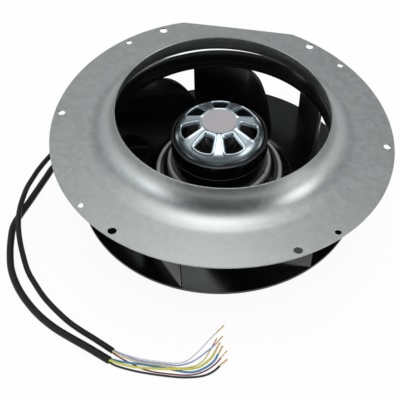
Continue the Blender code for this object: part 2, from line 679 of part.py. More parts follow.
def can_corners():
    """Corners of the can's outer surface, from the middle of its top down to its open edge."""
    return raised([
        (0, CAN_TOP_RISE, 0), (PLATEAU_RADIUS, CAN_TOP_RISE, 0.004), (*CAN_SLOPE_TOP, 0.010),
        (CAN_RADIUS, CAN_SHOULDER_RISE, 0.0035), (CAN_RADIUS, CAN_BOTTOM_RISE, 0)], PLATE_Z)


def window_outline(angle, inset):
    """Rounded trapezoid of one window of the can, its sides along two radii."""
    inner = WINDOW_INNER + inset
    outer = WINDOW_OUTER - inset
    corners = []
    for radius, side in ((inner, -1), (outer, -1), (outer, 1), (inner, 1)):
        half = WINDOW_HALF_ANGLE - inset / radius
        corners.append(on_circle(radius, angle + side * half))
    radius = WINDOW_CORNER - inset
    ring = [(*corner, radius) for corner in corners[-1:] + corners + corners[:1]]
    return rounded(ring, 2 * ARC_STEP)[1:-1]


def windows_mesh(name, inset):
    """Prisms through the can's top, one for each window."""
    angles = [WINDOW_ANGLE + 2 * pi * i / WINDOW_COUNT for i in range(WINDOW_COUNT)]
    outlines = [window_outline(angle, inset) for angle in angles]
    bottom = PLATE_Z + CAN_SHOULDER_RISE - 2 * WINDOW_DRAW
    return prisms_mesh(name, outlines, bottom, PLATE_Z + CAN_TOP_RISE + WINDOW_DRAW)


def make_can(rotor):
    """Deep-drawn rotor can whose top has windows with walls drawn down from raised lips."""
    path = rounded(can_corners(), FINE_ARC_STEP)
    inside = offset([point[:2] for point in can_corners()], -CAN_WALL)
    can = turned("rotor_can", path + inside[::-1], "zinc", rotor, ROTOR_STEPS, closed=False)
    lowest = PLATE_Z + CAN_SHOULDER_RISE + OVERSHOOT
    top = [point for point in path if point[1] > lowest and point[0] > 0]
    layer = offset(top, WINDOW_LIP_RISE) + offset(top, -WINDOW_DRAW)[::-1]
    rims = cutter("window_rims", windows_mesh("window_rims", 0), rotor)
    boolean(rims, "INTERSECT", turned_cutter("rim_layer", layer, rotor))
    boolean(can, "UNION", rims)
    boolean(can, "DIFFERENCE", cutter("window_holes", windows_mesh("window_holes", WINDOW_LIP), rotor))


def make_rotor_parts(rotor):
    """Painted collar round the can, its magnet ring and the bare label disc."""
    inner = CAN_RADIUS + COLLAR_INNER_GAP
    outer = inner + COLLAR_WALL
    low = PLATE_Z + NECK_RISE + GAP
    high = PLATE_Z + COLLAR_TOP_RISE
    collar = rounded([
        (inner, high, 0), (outer, high, 0.0012), (outer, low + COLLAR_BEAD_HEIGHT, 0),
        (outer + COLLAR_BEAD, low + COLLAR_BEAD_HEIGHT, 0), (outer + COLLAR_BEAD, low, 0), (inner, low, 0)])
    turned("rotor_collar", collar, "black_paint", rotor)
    magnet_outer = CAN_RADIUS - CAN_WALL - GAP
    magnet_inner = STATOR_RADIUS + MAGNET_RADIAL_GAP
    magnet = [(magnet_inner, MAGNET_TOP_Z), (magnet_outer, MAGNET_TOP_Z),
              (magnet_outer, MAGNET_BOTTOM_Z), (magnet_inner, MAGNET_BOTTOM_Z)]
    turned("magnet_ring", magnet, "magnet", rotor)
    label_low = PLATE_Z + CAN_TOP_RISE + GAP
    label_high = label_low + LABEL_THICKNESS
    label = [(0, label_high), (LABEL_RADIUS, label_high), (LABEL_RADIUS, label_low), (0, label_low)]
    turned("label_disc", label, "label", rotor, closed=False)


def make_back_plate(rotor):
    """Impeller back plate, dished in two steps up to the neck that grips the rotor can."""
    neck = CAN_RADIUS + GAP + PLATE_WALL
    corners = [
        (IMPELLER_RADIUS, PLATE_WALL, 0), (DISH_FOOT_RADIUS, PLATE_WALL, 0.008),
        (SHELF_RADIUS, SHELF_RISE, 0.0026), (STEP_FOOT_RADIUS, SHELF_RISE, 0.0030),
        (STEP_RADIUS, STEP_RISE, 0.0016), (NECK_FOOT_RADIUS, STEP_RISE, 0.0010), (neck, NECK_RISE, 0)]
    upper = raised(rounded(corners), PLATE_Z)
    lower = offset([point[:2] for point in raised(corners, PLATE_Z)], PLATE_WALL)
    lower[-1] = (CAN_RADIUS + GAP, PLATE_Z + NECK_RISE)
    plate = turned("back_plate", upper + lower[::-1], "black_paint", rotor, WIDE_STEPS)
    ledge = PLATE_Z + STEP_RISE
    drill(plate, "vent_hole", [on_circle(VENT_CIRCLE, VENT_ANGLE)], VENT_RADIUS, ledge - 2 * PLATE_WALL,
          ledge + OVERSHOOT, rotor, PIN_STEPS)


def cover_path():
    """Inner surface of the cover ring, from the eye's rim down and out to the outlet."""
    corners = [(EYE_RADIUS, EYE_COLLAR_TOP, 0), (EYE_RADIUS, EYE_BEND_RISE, EYE_BEND_RADIUS),
               (IMPELLER_RADIUS, OUTLET_RISE, 0)]
    return raised(rounded(corners, FINE_ARC_STEP), PLATE_Z)


def cover_underside(radius):
    """Height of the cover's inner surface at a radius outside the eye."""
    path = cover_path()
    for (r0, z0), (r1, z1) in zip(path, path[1:]):
        if r0 <= radius <= r1 and r1 > r0:
            return z0 + (z1 - z0) * (radius - r0) / (r1 - r0)
    return path[-1][1]


def make_shroud(rotor):
    """Cover ring of the impeller with its inlet collar."""
    section = wall(cover_path(), COVER_WALL)
    centre = (EYE_RADIUS + COVER_WALL - EYE_RIM_ROUND, PLATE_Z + EYE_COLLAR_TOP - EYE_RIM_ROUND)
    section.pop()
    for angle in (0, pi / 4, pi / 2):
        across, up = on_circle(EYE_RIM_ROUND, angle)
        section.append((centre[0] + across, centre[1] + up))
    turned("shroud", section, "black_paint", rotor, WIDE_STEPS)


def blade_top(radius):
    """Height of a blade's upper edge: a curve up to the cover ring, then close under it."""
    foot = PLATE_Z + PLATE_WALL + GAP + BLADE_ROOT_HEIGHT
    full = cover_underside(BLADE_SHROUD_RADIUS) - GAP
    if radius >= BLADE_SHROUD_RADIUS:
        return cover_underside(radius) - GAP
    share = max(0.0, (radius - BLADE_ROOT_RADIUS) / (BLADE_SHROUD_RADIUS - BLADE_ROOT_RADIUS))
    return foot + (full - foot) * sin(pi / 2 * share) ** BLADE_SWEEP


def blade_mesh():
    """One blade: a spiral wall between plate and cover, its inner edge sloping to the eye."""
    tip = IMPELLER_RADIUS - BLADE_TIP_INSET
    foot = PLATE_Z + PLATE_WALL + GAP
    turn_rate = BLADE_WRAP / (tip - BLADE_ROOT_RADIUS)
    bm = bmesh.new()
    rows = []
    for station in range(BLADE_STATIONS + 1):
        share = station / BLADE_STATIONS
        radius = BLADE_ROOT_RADIUS + (tip - BLADE_ROOT_RADIUS) * share
        angle = -BLADE_WRAP * (1 - share)
        outwards = Vector((cos(angle), sin(angle)))
        onwards = Vector((-sin(angle), cos(angle)))
        along = (outwards + onwards * radius * turn_rate).normalized()
        side = Vector((-along.y, along.x))
        half = (BLADE_EDGE_THICKNESS + (BLADE_THICKNESS - BLADE_EDGE_THICKNESS) * sin(pi * share)) / 2
        centre = Vector(on_circle(radius, angle))
        left = centre + side * half
        right = centre - side * half
        row = [(*left, foot), (*right, foot), (*right, blade_top(right.length)),
               (*left, blade_top(left.length))]
        rows.append([bm.verts.new(corner) for corner in row])
    for row, after in zip(rows, rows[1:]):
        for i in range(4):
            j = (i + 1) % 4
            bm.faces.new((row[i], row[j], after[j], after[i]))
    bm.faces.new(rows[0][::-1])
    bm.faces.new(rows[-1])
    bmesh.ops.recalc_face_normals(bm, faces=bm.faces)
    mesh = bpy.data.meshes.new("blade")
    bm.to_mesh(mesh)
    bm.free()
    return mesh


def make_blades(rotor):
    """Backward-curved blades, all from one mesh, each turned to its place."""
    mesh = blade_mesh()
    for index in range(BLADE_COUNT):
        blade = piece(f"blade_{index + 1}", mesh, "black_paint", rotor)
        blade.rotation_euler.z = BLADE_TIP_ANGLE - 2 * pi * index / BLADE_COUNT


def ring_seat():
    """Height of the ring on the eye's rim, and of the point on the axis about which it can tip there.

    The bell's section is an arc whose centre lies above and outside the rim. The line from
    that centre through the rim's rounded edge meets the axis at the tipping point.
    """
    centre_radius = THROAT_RADIUS + BELL_RADIUS
    edge_radius = EYE_RADIUS + COVER_WALL - EYE_RIM_ROUND
    edge_z = PLATE_Z + EYE_COLLAR_TOP - EYE_RIM_ROUND
    reach = BELL_RADIUS + GAP + EYE_RIM_ROUND
    across = centre_radius - edge_radius
    above = sqrt(reach ** 2 - across ** 2)
    centre_z = edge_z + above
    return centre_z - BELL_RADIUS, centre_z - centre_radius * above / across


def make_inlet_ring():
    """Pressed sheet ring, lying upside down and a little tipped on the impeller's eye."""
    seat_z, pivot_z = ring_seat()
    tip_axis = Vector((-sin(RING_LEAN_TOWARDS), cos(RING_LEAN_TOWARDS), 0))
    seat = empty("ring_seat", (0, 0, pivot_z), Quaternion(tip_axis, RING_LEAN))
    bell = [(THROAT_RADIUS + BELL_RADIUS * (1 - sin(a)), BELL_RADIUS * (1 - cos(a)))
            for a in (pi / 2 * i / BELL_STEPS for i in range(BELL_STEPS + 1))]
    path = [(RING_RADIUS, 0)] + bell + [(THROAT_RADIUS, BELL_RADIUS + THROAT_LIP)]
    section = wall(path, -RING_WALL)
    ring = turned("inlet_ring", section, "galvanised", seat, WIDE_STEPS)
    ring.location.z = seat_z - pivot_z
    flat = box_mesh("ring_flat", (2 * RING_RADIUS, 2 * RING_FLAT_DEPTH, BELL_RADIUS), (0, RING_RADIUS, 0))
    cuts = [cutter("ring_flat", flat, ring)]
    hole_sets = (("large_holes", LARGE_HOLES), ("small_holes", SMALL_HOLES), ("side_holes", SIDE_HOLES))
    for name, (radius, angles) in hole_sets:
        places = [on_circle(RING_RADIUS - HOLE_EDGE_DISTANCE, radians(angle)) for angle in angles]
        rods = rods_mesh(name, places, radius, -RING_WALL, 2 * RING_WALL, PIN_STEPS)
        cuts.append(cutter(name, rods, ring))
    for cut in cuts:
        boolean(ring, "DIFFERENCE", cut)


def smooth_route(points, spacing):
    """Points about one spacing apart on a smooth curve through the route's points."""
    ends = [2 * points[0] - points[1]] + points + [2 * points[-1] - points[-2]]
    fine = []
    for p0, p1, p2, p3 in zip(ends, ends[1:], ends[2:], ends[3:]):
        for step in range(12):
            t = step / 12
            fine.append(0.5 * (2 * p1 + (p2 - p0) * t + (2 * p0 - 5 * p1 + 4 * p2 - p3) * t * t
                               + (3 * p1 - p0 - 3 * p2 + p3) * t ** 3))
    fine.append(points[-1])
    total = sum((b - a).length for a, b in zip(fine, fine[1:]))
    count = max(4, round(total / spacing))
    even = [fine[0]]
    gone = 0.0
    for a, b in zip(fine, fine[1:]):
        step = (b - a).length
        while len(even) < count and gone + step >= total * len(even) / count:
            share = (total * len(even) / count - gone) / step
            even.append(a.lerp(b, share))
        gone += step
    even.append(fine[-1])
    return even


def tube(name, points, diameter, finish_name):
    """Round cord along a chain of points, closed at both ends."""
    curve = bpy.data.curves.new(name, "CURVE")
    curve.dimensions = "3D"
    curve.bevel_depth = diameter / 2
    curve.bevel_resolution = 2
    curve.use_fill_caps = True
    spline = curve.splines.new("POLY")
    spline.points.add(len(points) - 1)
    for spot, point in zip(spline.points, points):
        spot.co = (*point, 1)
    obj = bpy.data.objects.new(name, curve)
    collection(COLLECTION).objects.link(obj)
    curve.materials.append(finish(finish_name))
    return obj


def route_points(route):
    return [Vector(point) * MM for point in route]


def make_cables():
    """Two sheathed cables from the glands along the floor."""
    for name, angle, diameter, route in (("mains", MAINS_ANGLE, MAINS_DIAMETER, MAINS_ROUTE),
                                         ("signal", SIGNAL_ANGLE, SIGNAL_DIAMETER, SIGNAL_ROUTE)):
        mouth = BASE_RADIUS + GLAND_REACH + GAP
        straight = [Vector((*on_circle(mouth + step, angle), GLAND_Z)) for step in (0, CABLE_STRAIGHT)]
        free = smooth_route(straight[1:] + route_points(route), CABLE_SPACING * diameter)
        tube(f"{name}_cable", straight[:1] + free, diameter, "rubber")


def make_cores():
    """Insulated cores from the cables' ends, each with its stripped copper end."""
    for name, (diameter, route) in CORE_ROUTES.items():
        colour = name.removeprefix("core_")
        points = smooth_route(route_points(route), CORE_SPACING)
        tube(name, points, diameter, colour)
        thickness = MAINS_TIP_DIAMETER if diameter == MAINS_CORE_DIAMETER else SIGNAL_TIP_DIAMETER
        heading = (points[-1] - points[-2]).normalized()
        heading.z = 0
        start = points[-1] + heading * GAP
        tube(f"tip_{colour}", [start, start + heading * TIP_LENGTH], thickness, "copper")


def build_fan():
    clear_scene()
    rotor = empty("rotor_axis")
    make_base()
    make_glands()
    make_electronics()
    make_bearing_tube()
    make_bearings()
    make_stator()
    make_shaft(rotor)
    make_can(rotor)
    make_rotor_parts(rotor)
    make_back_plate(rotor)
    make_shroud(rotor)
    make_blades(rotor)
    make_inlet_ring()
    make_cables()
    make_cores()


build_fan()
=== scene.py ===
"""Dressed model of a plug fan with its loose inlet ring, standing on a pale studio floor.

Every length is in metres in the fan's own frame: the origin is the centre of the motor's
mounting face on the floor, and +Z runs along the shaft towards the inlet.
"""

import json
import logging
from dataclasses import dataclass, field
from enum import Enum
from functools import cache
from math import acos, atan2, ceil, cos, pi, radians, sin, tan
from typing import Iterable, Sequence

import bmesh
import bpy
import numpy as np
from bmesh.types import BMesh, BMFace, BMVert
from bpy.types import Material, Mesh, Node, NodeSocket, NodeTree, Object
from mathutils import Matrix, Vector
from mathutils.geometry import delaunay_2d_cdt

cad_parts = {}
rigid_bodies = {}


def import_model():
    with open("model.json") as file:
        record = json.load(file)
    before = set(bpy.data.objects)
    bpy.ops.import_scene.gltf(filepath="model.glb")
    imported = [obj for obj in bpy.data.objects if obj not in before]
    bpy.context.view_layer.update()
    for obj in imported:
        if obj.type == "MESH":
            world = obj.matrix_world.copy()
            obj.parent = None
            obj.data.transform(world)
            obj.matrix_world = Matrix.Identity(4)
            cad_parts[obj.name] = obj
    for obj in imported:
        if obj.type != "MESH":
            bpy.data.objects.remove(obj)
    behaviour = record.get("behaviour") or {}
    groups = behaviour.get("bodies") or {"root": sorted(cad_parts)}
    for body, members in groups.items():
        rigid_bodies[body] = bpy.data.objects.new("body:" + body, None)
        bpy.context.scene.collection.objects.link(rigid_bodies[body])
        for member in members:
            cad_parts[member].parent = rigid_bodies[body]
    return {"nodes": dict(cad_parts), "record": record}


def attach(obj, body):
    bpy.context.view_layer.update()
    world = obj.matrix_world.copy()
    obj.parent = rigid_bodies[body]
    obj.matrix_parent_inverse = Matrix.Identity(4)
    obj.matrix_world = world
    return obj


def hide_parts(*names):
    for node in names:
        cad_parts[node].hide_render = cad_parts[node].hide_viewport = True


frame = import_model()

LOG = logging.getLogger("plug_fan")
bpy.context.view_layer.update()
GAP = 0.0003
MM = 0.001
WHITE = (1.0, 1.0, 1.0, 1.0)
CURVE_STEPS = 12

Point2 = tuple[float, float]
Colour = tuple[float, float, float]


class Body(Enum):
    """Bodies that the fan's pieces ride on."""

    STATOR = "stator"
    IMPELLER = "impeller"
    RING = "ring"


# Shader graphs


class Graph:
    """Thin wrapper that adds nodes and links to a shader tree in reading order."""

    def __init__(self, tree: NodeTree) -> None:
        """Keeps the node tree of a material, world or node group."""
        self.tree = tree
        self.column = 0

    def node(self, kind: str, settings: dict[str, object] | None = None, **values: object) -> Node:
        """Adds one node.

        Args:
            kind: The node's type, such as "ShaderNodeTexNoise".
            settings: Properties of the node itself.
            **values: Socket values or sources; underscores stand for spaces.

        Returns:
            The new node.
        """
        node = self.tree.nodes.new(kind)
        node.location = (self.column * 180.0, 0.0)
        self.column += 1
        for name, value in (settings or {}).items():
            setattr(node, name, value)
        for name, value in values.items():
            self.feed(node.inputs[name.replace("_", " ")], value)
        return node

    def feed(self, socket: NodeSocket, value: object) -> None:
        """Sets a socket's value, or links it where the value is another socket.

        Args:
            socket: The input socket.
            value: A number, a colour, a vector or an output socket.
        """
        if isinstance(value, NodeSocket):
            self.tree.links.new(value, socket)
        else:
            socket.default_value = value

    def maths(self, operation: str, first: object, second: object = 0.5,
              clamp: bool = False) -> NodeSocket:
        """Adds a Math node.

        Args:
            operation: The node's operation.
            first: The first operand.
            second: The second operand.
            clamp: Whether the result is kept between 0 and 1.

        Returns:
            The node's output socket.
        """
        node = self.node("ShaderNodeMath", {"operation": operation, "use_clamp": clamp})
        self.feed(node.inputs[0], first)
        self.feed(node.inputs[1], second)
        return node.outputs[0]

    def blend(self, share: object, first: object, second: object) -> NodeSocket:
        """Mixes two colours.

        Args:
            share: How much of the second colour shows.
            first: The first colour or its socket.
            second: The second colour or its socket.

        Returns:
            The mixed colour's socket.
        """
        node = self.node("ShaderNodeMix", {"data_type": "RGBA"})
        self.feed(node.inputs[0], share)
        self.feed(node.inputs[6], first)
        self.feed(node.inputs[7], second)
        return node.outputs[2]

    def spread(self, value: object, low: float, high: float, from_low: float = 0.0,
               from_high: float = 1.0) -> NodeSocket:
        """Maps a value linearly from one range to another.

        Args:
            value: The value or its socket.
            low: Result at the start of the range.
            high: Result at the end of the range.
            from_low: Start of the value's own range.
            from_high: End of the value's own range.

        Returns:
            The mapped value's socket.
        """
        node = self.node("ShaderNodeMapRange", Value=value, From_Min=from_low, From_Max=from_high,
                         To_Min=low, To_Max=high)
        return node.outputs["Result"]


def rgba(colour: Colour, factor: float = 1.0) -> tuple[float, ...]:
    """The colour times a factor, no brighter than white, with full opacity."""
    return (*(min(1.0, part * factor) for part in colour), 1.0)


class Patterns:
    """Node groups for surface effects that several finishes share."""

    def __init__(self) -> None:
        """Builds each group once."""
        self.mottle = self._mottle()
        self.spangle = self._spangle()
        self.scuff = self._scuff()
        self.ring = self._wear_and_sheen_ring()

    @staticmethod
    def _start(name: str, inputs: dict[str, float],
               outputs: Sequence[str]) -> tuple[Graph, Node, Node]:
        """Makes an empty group with a vector input and named number sockets.

        Args:
            name: The group's name.
            inputs: Number inputs and their default values.
            outputs: Names of the number outputs.

        Returns:
            The group's graph, its input node and its output node.
        """
        group = bpy.data.node_groups.new(name, "ShaderNodeTree")
        group.interface.new_socket("Vector", in_out="INPUT", socket_type="NodeSocketVector")
        for label, value in inputs.items():
            socket = group.interface.new_socket(label, in_out="INPUT", socket_type="NodeSocketFloat")
            socket.default_value = value
        for label in outputs:
            group.interface.new_socket(label, in_out="OUTPUT", socket_type="NodeSocketFloat")
        graph = Graph(group)
        return graph, graph.node("NodeGroupInput"), graph.node("NodeGroupOutput")

    def _mottle(self) -> NodeTree:
        """Soft patches over a fine grain, for paint, rubber and cast metal.

        Returns:
            The node group.
        """
        inputs = {"Patch Scale": 20.0, "Grain Scale": 900.0, "Grain Share": 0.5}
        graph, source, sink = self._start("Mottle", inputs, ("Patches", "Height"))
        place = source.outputs["Vector"]
        patches = graph.node("ShaderNodeTexNoise", Vector=place, Scale=source.outputs["Patch Scale"],
                             Detail=3.0, Roughness=0.55)
        grain = graph.node("ShaderNodeTexNoise", Vector=place, Scale=source.outputs["Grain Scale"],
                           Detail=2.0, Roughness=0.6)
        share = source.outputs["Grain Share"]
        rest = graph.maths("SUBTRACT", 1.0, share)
        height = graph.maths("ADD", graph.maths("MULTIPLY", grain.outputs[0], share),
                             graph.maths("MULTIPLY", patches.outputs[0], rest))
        graph.feed(sink.inputs["Patches"], patches.outputs[0])
        graph.feed(sink.inputs["Height"], height)
        return graph.tree

    def _spangle(self) -> NodeTree:
        """Crystal flakes of a zinc coat, each a little lighter or darker.

        Returns:
            The node group.
        """
        inputs = {"Flake Scale": 160.0, "Waviness": 0.35}
        graph, source, sink = self._start("Zinc Spangle", inputs, ("Shade",))
        bend = graph.node("ShaderNodeTexNoise", Vector=source.outputs["Vector"], Scale=60.0, Detail=2.0)
        reach = graph.maths("MULTIPLY", source.outputs["Waviness"], 0.01)
        shift = graph.node("ShaderNodeVectorMath", {"operation": "SCALE"}, Vector=bend.outputs["Color"],
                           Scale=reach)
        moved = graph.node("ShaderNodeVectorMath", {"operation": "ADD"})
        graph.feed(moved.inputs[0], source.outputs["Vector"])
        graph.feed(moved.inputs[1], shift.outputs[0])
        flakes = graph.node("ShaderNodeTexVoronoi", {"feature": "SMOOTH_F1"}, Vector=moved.outputs[0],
                            Scale=source.outputs["Flake Scale"], Smoothness=0.25)
        tint = graph.node("ShaderNodeSeparateColor", Color=flakes.outputs["Color"])
        streak = graph.node("ShaderNodeTexNoise", Vector=moved.outputs[0], Scale=500.0, Detail=2.0)
        shade = graph.maths("ADD", graph.maths("MULTIPLY", tint.outputs[0], 0.75),
                            graph.maths("MULTIPLY", streak.outputs[0], 0.25))
        graph.feed(sink.inputs["Shade"], shade)
        return graph.tree

    def _wear_and_sheen_ring(self) -> NodeTree:
        """Soft-edged ring about the Z axis, a little broken up, for the lighter turned edges: partly paint
        worn thin, partly a painted sheen.

        Returns:
            The node group.
        """
        graph, source, sink = self._start("Worn Paint And Sheen Ring", {"Radius": 0.05, "Half Width": 0.001}, ("Mask",))
        apart = graph.node("ShaderNodeSeparateXYZ", Vector=source.outputs["Vector"])
        square = graph.maths("ADD", graph.maths("MULTIPLY", apart.outputs["X"], apart.outputs["X"]),
                             graph.maths("MULTIPLY", apart.outputs["Y"], apart.outputs["Y"]))
        radius = graph.maths("SQRT", square)
        away = graph.maths("ABSOLUTE", graph.maths("SUBTRACT", radius, source.outputs["Radius"]))
        share = graph.maths("DIVIDE", away, source.outputs["Half Width"])
        full = graph.spread(share, 1.0, 0.0, 0.55, 1.0)
        wear_and_sheen_breakup = graph.node("ShaderNodeTexNoise", Vector=source.outputs["Vector"], Scale=90.0, Detail=3.0)
        uneven = graph.spread(wear_and_sheen_breakup.outputs[0], 0.75, 1.0, 0.3, 0.7)
        graph.feed(sink.inputs["Mask"], graph.maths("MULTIPLY", full, uneven))
        return graph.tree

    def _scuff(self) -> NodeTree:
        """Thin handling marks: sparse lines along one direction of the pattern.

        Returns:
            The node group.
        """
        inputs = {"Scale": 40.0, "Stretch": 12.0, "Rarity": 0.62}
        graph, source, sink = self._start("Handling Marks", inputs, ("Marks",))
        stretched = graph.node("ShaderNodeMapping", Vector=source.outputs["Vector"])
        scale = graph.node("ShaderNodeCombineXYZ", X=source.outputs["Stretch"], Y=1.0, Z=1.0)
        graph.feed(stretched.inputs["Scale"], scale.outputs[0])
        lines = graph.node("ShaderNodeTexNoise", Vector=stretched.outputs[0],
                           Scale=source.outputs["Scale"], Detail=4.0, Roughness=0.7)
        over = graph.maths("SUBTRACT", lines.outputs[0], source.outputs["Rarity"])
        graph.feed(sink.inputs["Marks"], graph.maths("MULTIPLY", over, 6.0, clamp=True))
        return graph.tree


@dataclass
class Surface:
    """A material under construction."""

    graph: Graph
    shader: Node
    place: NodeSocket
    patterns: Patterns

    def feed(self, name: str, value: object) -> None:
        """Feeds one of the shader's inputs."""
        self.graph.feed(self.shader.inputs[name], value)

    def effect(self, group: NodeTree, **values: float) -> Node:
        """Adds a shared effect at the pattern's coordinates."""
        return self.graph.node("ShaderNodeGroup", {"node_tree": group}, Vector=self.place, **values)


@dataclass(frozen=True)
class Finish:
    """One material: a base coat with patches, grain and a bump of its own scale."""

    name: str
    colour: Colour
    roughness: float
    metallic: float = 0.0
    specular: float = 0.5
    colour_swing: float = 0.12
    rough_swing: float = 0.06
    patch_scale: float = 25.0
    grain_scale: float = 900.0
    grain_share: float = 0.6
    bump: float = 0.04
    bump_depth: float = 0.0002

    def build(self, patterns: Patterns) -> Material:
        """Makes the material.

        Args:
            patterns: The shared surface effects.

        Returns:
            The finished material.
        """
        material = bpy.data.materials.new(self.name)
        material.use_nodes = True
        graph = Graph(material.node_tree)
        surface = Surface(graph, material.node_tree.nodes["Principled BSDF"],
                          graph.node("ShaderNodeTexCoord").outputs["Object"], patterns)
        surface.feed("Metallic", self.metallic)
        surface.feed("Specular IOR Level", self.specular)
        self.dress(surface)
        return material

    def dress(self, surface: Surface) -> None:
        """Feeds colour, roughness and normal of a plain mottled finish.

        Args:
            surface: The material under construction.
        """
        patches = self.mottled(surface)
        dark, light = (rgba(self.colour, 1 + swing) for swing in (-self.colour_swing, self.colour_swing))
        surface.feed("Base Color", surface.graph.blend(patches, dark, light))
        surface.feed("Roughness", surface.graph.spread(
            patches, self.roughness - self.rough_swing, self.roughness + self.rough_swing, 0.3, 0.7))

    def mottled(self, surface: Surface) -> NodeSocket:
        """Adds the mottle and feeds its height to the normal.

        Args:
            surface: The material under construction.

        Returns:
            The socket of the mottle's patches.
        """
        mottle = surface.effect(surface.patterns.mottle, Patch_Scale=self.patch_scale,
                                Grain_Scale=self.grain_scale, Grain_Share=self.grain_share)
        bump = surface.graph.node("ShaderNodeBump", Strength=self.bump, Distance=self.bump_depth,
                                  Height=mottle.outputs["Height"])
        surface.feed("Normal", bump.outputs[0])
        return mottle.outputs["Patches"]


@dataclass(frozen=True)
class Galvanised(Finish):
    """Zinc-coated sheet with faint flakes and handling marks."""

    flake_scale: float = 260.0
    flake_contrast: float = 0.07
    flake_waviness: float = 0.4
    patch_share: float = 0.25
    mark_colour: Colour = (0.62, 0.63, 0.64)
    mark_scale: float = 55.0
    mark_stretch: float = 9.0
    mark_rarity: float = 0.64
    mark_share: float = 0.22

    def dress(self, surface: Surface) -> None:
        """Feeds flakes, patches and marks into the sheet's colour, roughness and normal.

        Args:
            surface: The material under construction.
        """
        graph, patterns = surface.graph, surface.patterns
        shade = surface.effect(patterns.spangle, Flake_Scale=self.flake_scale,
                               Waviness=self.flake_waviness).outputs["Shade"]
        marks = surface.effect(patterns.scuff, Scale=self.mark_scale, Stretch=self.mark_stretch,
                               Rarity=self.mark_rarity).outputs["Marks"]
        dark, light = (rgba(self.colour, 1 + swing) for swing in (-self.flake_contrast, self.flake_contrast))
        bright = graph.spread(self.mottled(surface), 0.0, self.patch_share, 0.35, 0.75)
        patchy = graph.blend(bright, graph.blend(shade, dark, light), light)
        scratched = graph.maths("MULTIPLY", marks, self.mark_share)
        surface.feed("Base Color", graph.blend(scratched, patchy, rgba(self.mark_colour)))
        surface.feed("Roughness", graph.spread(shade, self.roughness - self.rough_swing,
                                               self.roughness + self.rough_swing))


@dataclass(frozen=True)
class PressedPaint(Finish):
    """Gloss paint of a turned pressing, with lighter rings along its round edges: partly paint worn thin,
    partly a painted sheen that stands for their highlight.
    """

    # Lighter rings along the round edges, as (radius, half width), in the colour bare: partly paint worn
    # thin, partly a painted sheen that stands for the edges' highlight.
    edges: tuple[tuple[float, float], ...] = ()
    bare: Colour = (0.42, 0.42, 0.41)
    wear_and_sheen_roughness: float = 0.38

    def dress(self, surface: Surface) -> None:
        """Feeds the paint, and lighter rings about the shaft along the round edges: partly paint worn thin,
        partly a painted sheen.

        Args:
            surface: The material under construction.
        """
        super().dress(surface)
        graph, inputs = surface.graph, surface.shader.inputs
        painted, gloss = (inputs[name].links[0].from_socket for name in ("Base Color", "Roughness"))
        # Painted sheen together with worn paint: lighter rings mixed into the base colour and roughness.
        thin: object = 0.0
        for radius, width in self.edges:
            ring = surface.effect(surface.patterns.ring, Radius=radius, Half_Width=width)
            thin = graph.maths("MAXIMUM", thin, ring.outputs["Mask"])
        surface.feed("Base Color", graph.blend(thin, painted, rgba(self.bare)))
        surface.feed("Roughness", graph.spread(thin, gloss, self.wear_and_sheen_roughness))


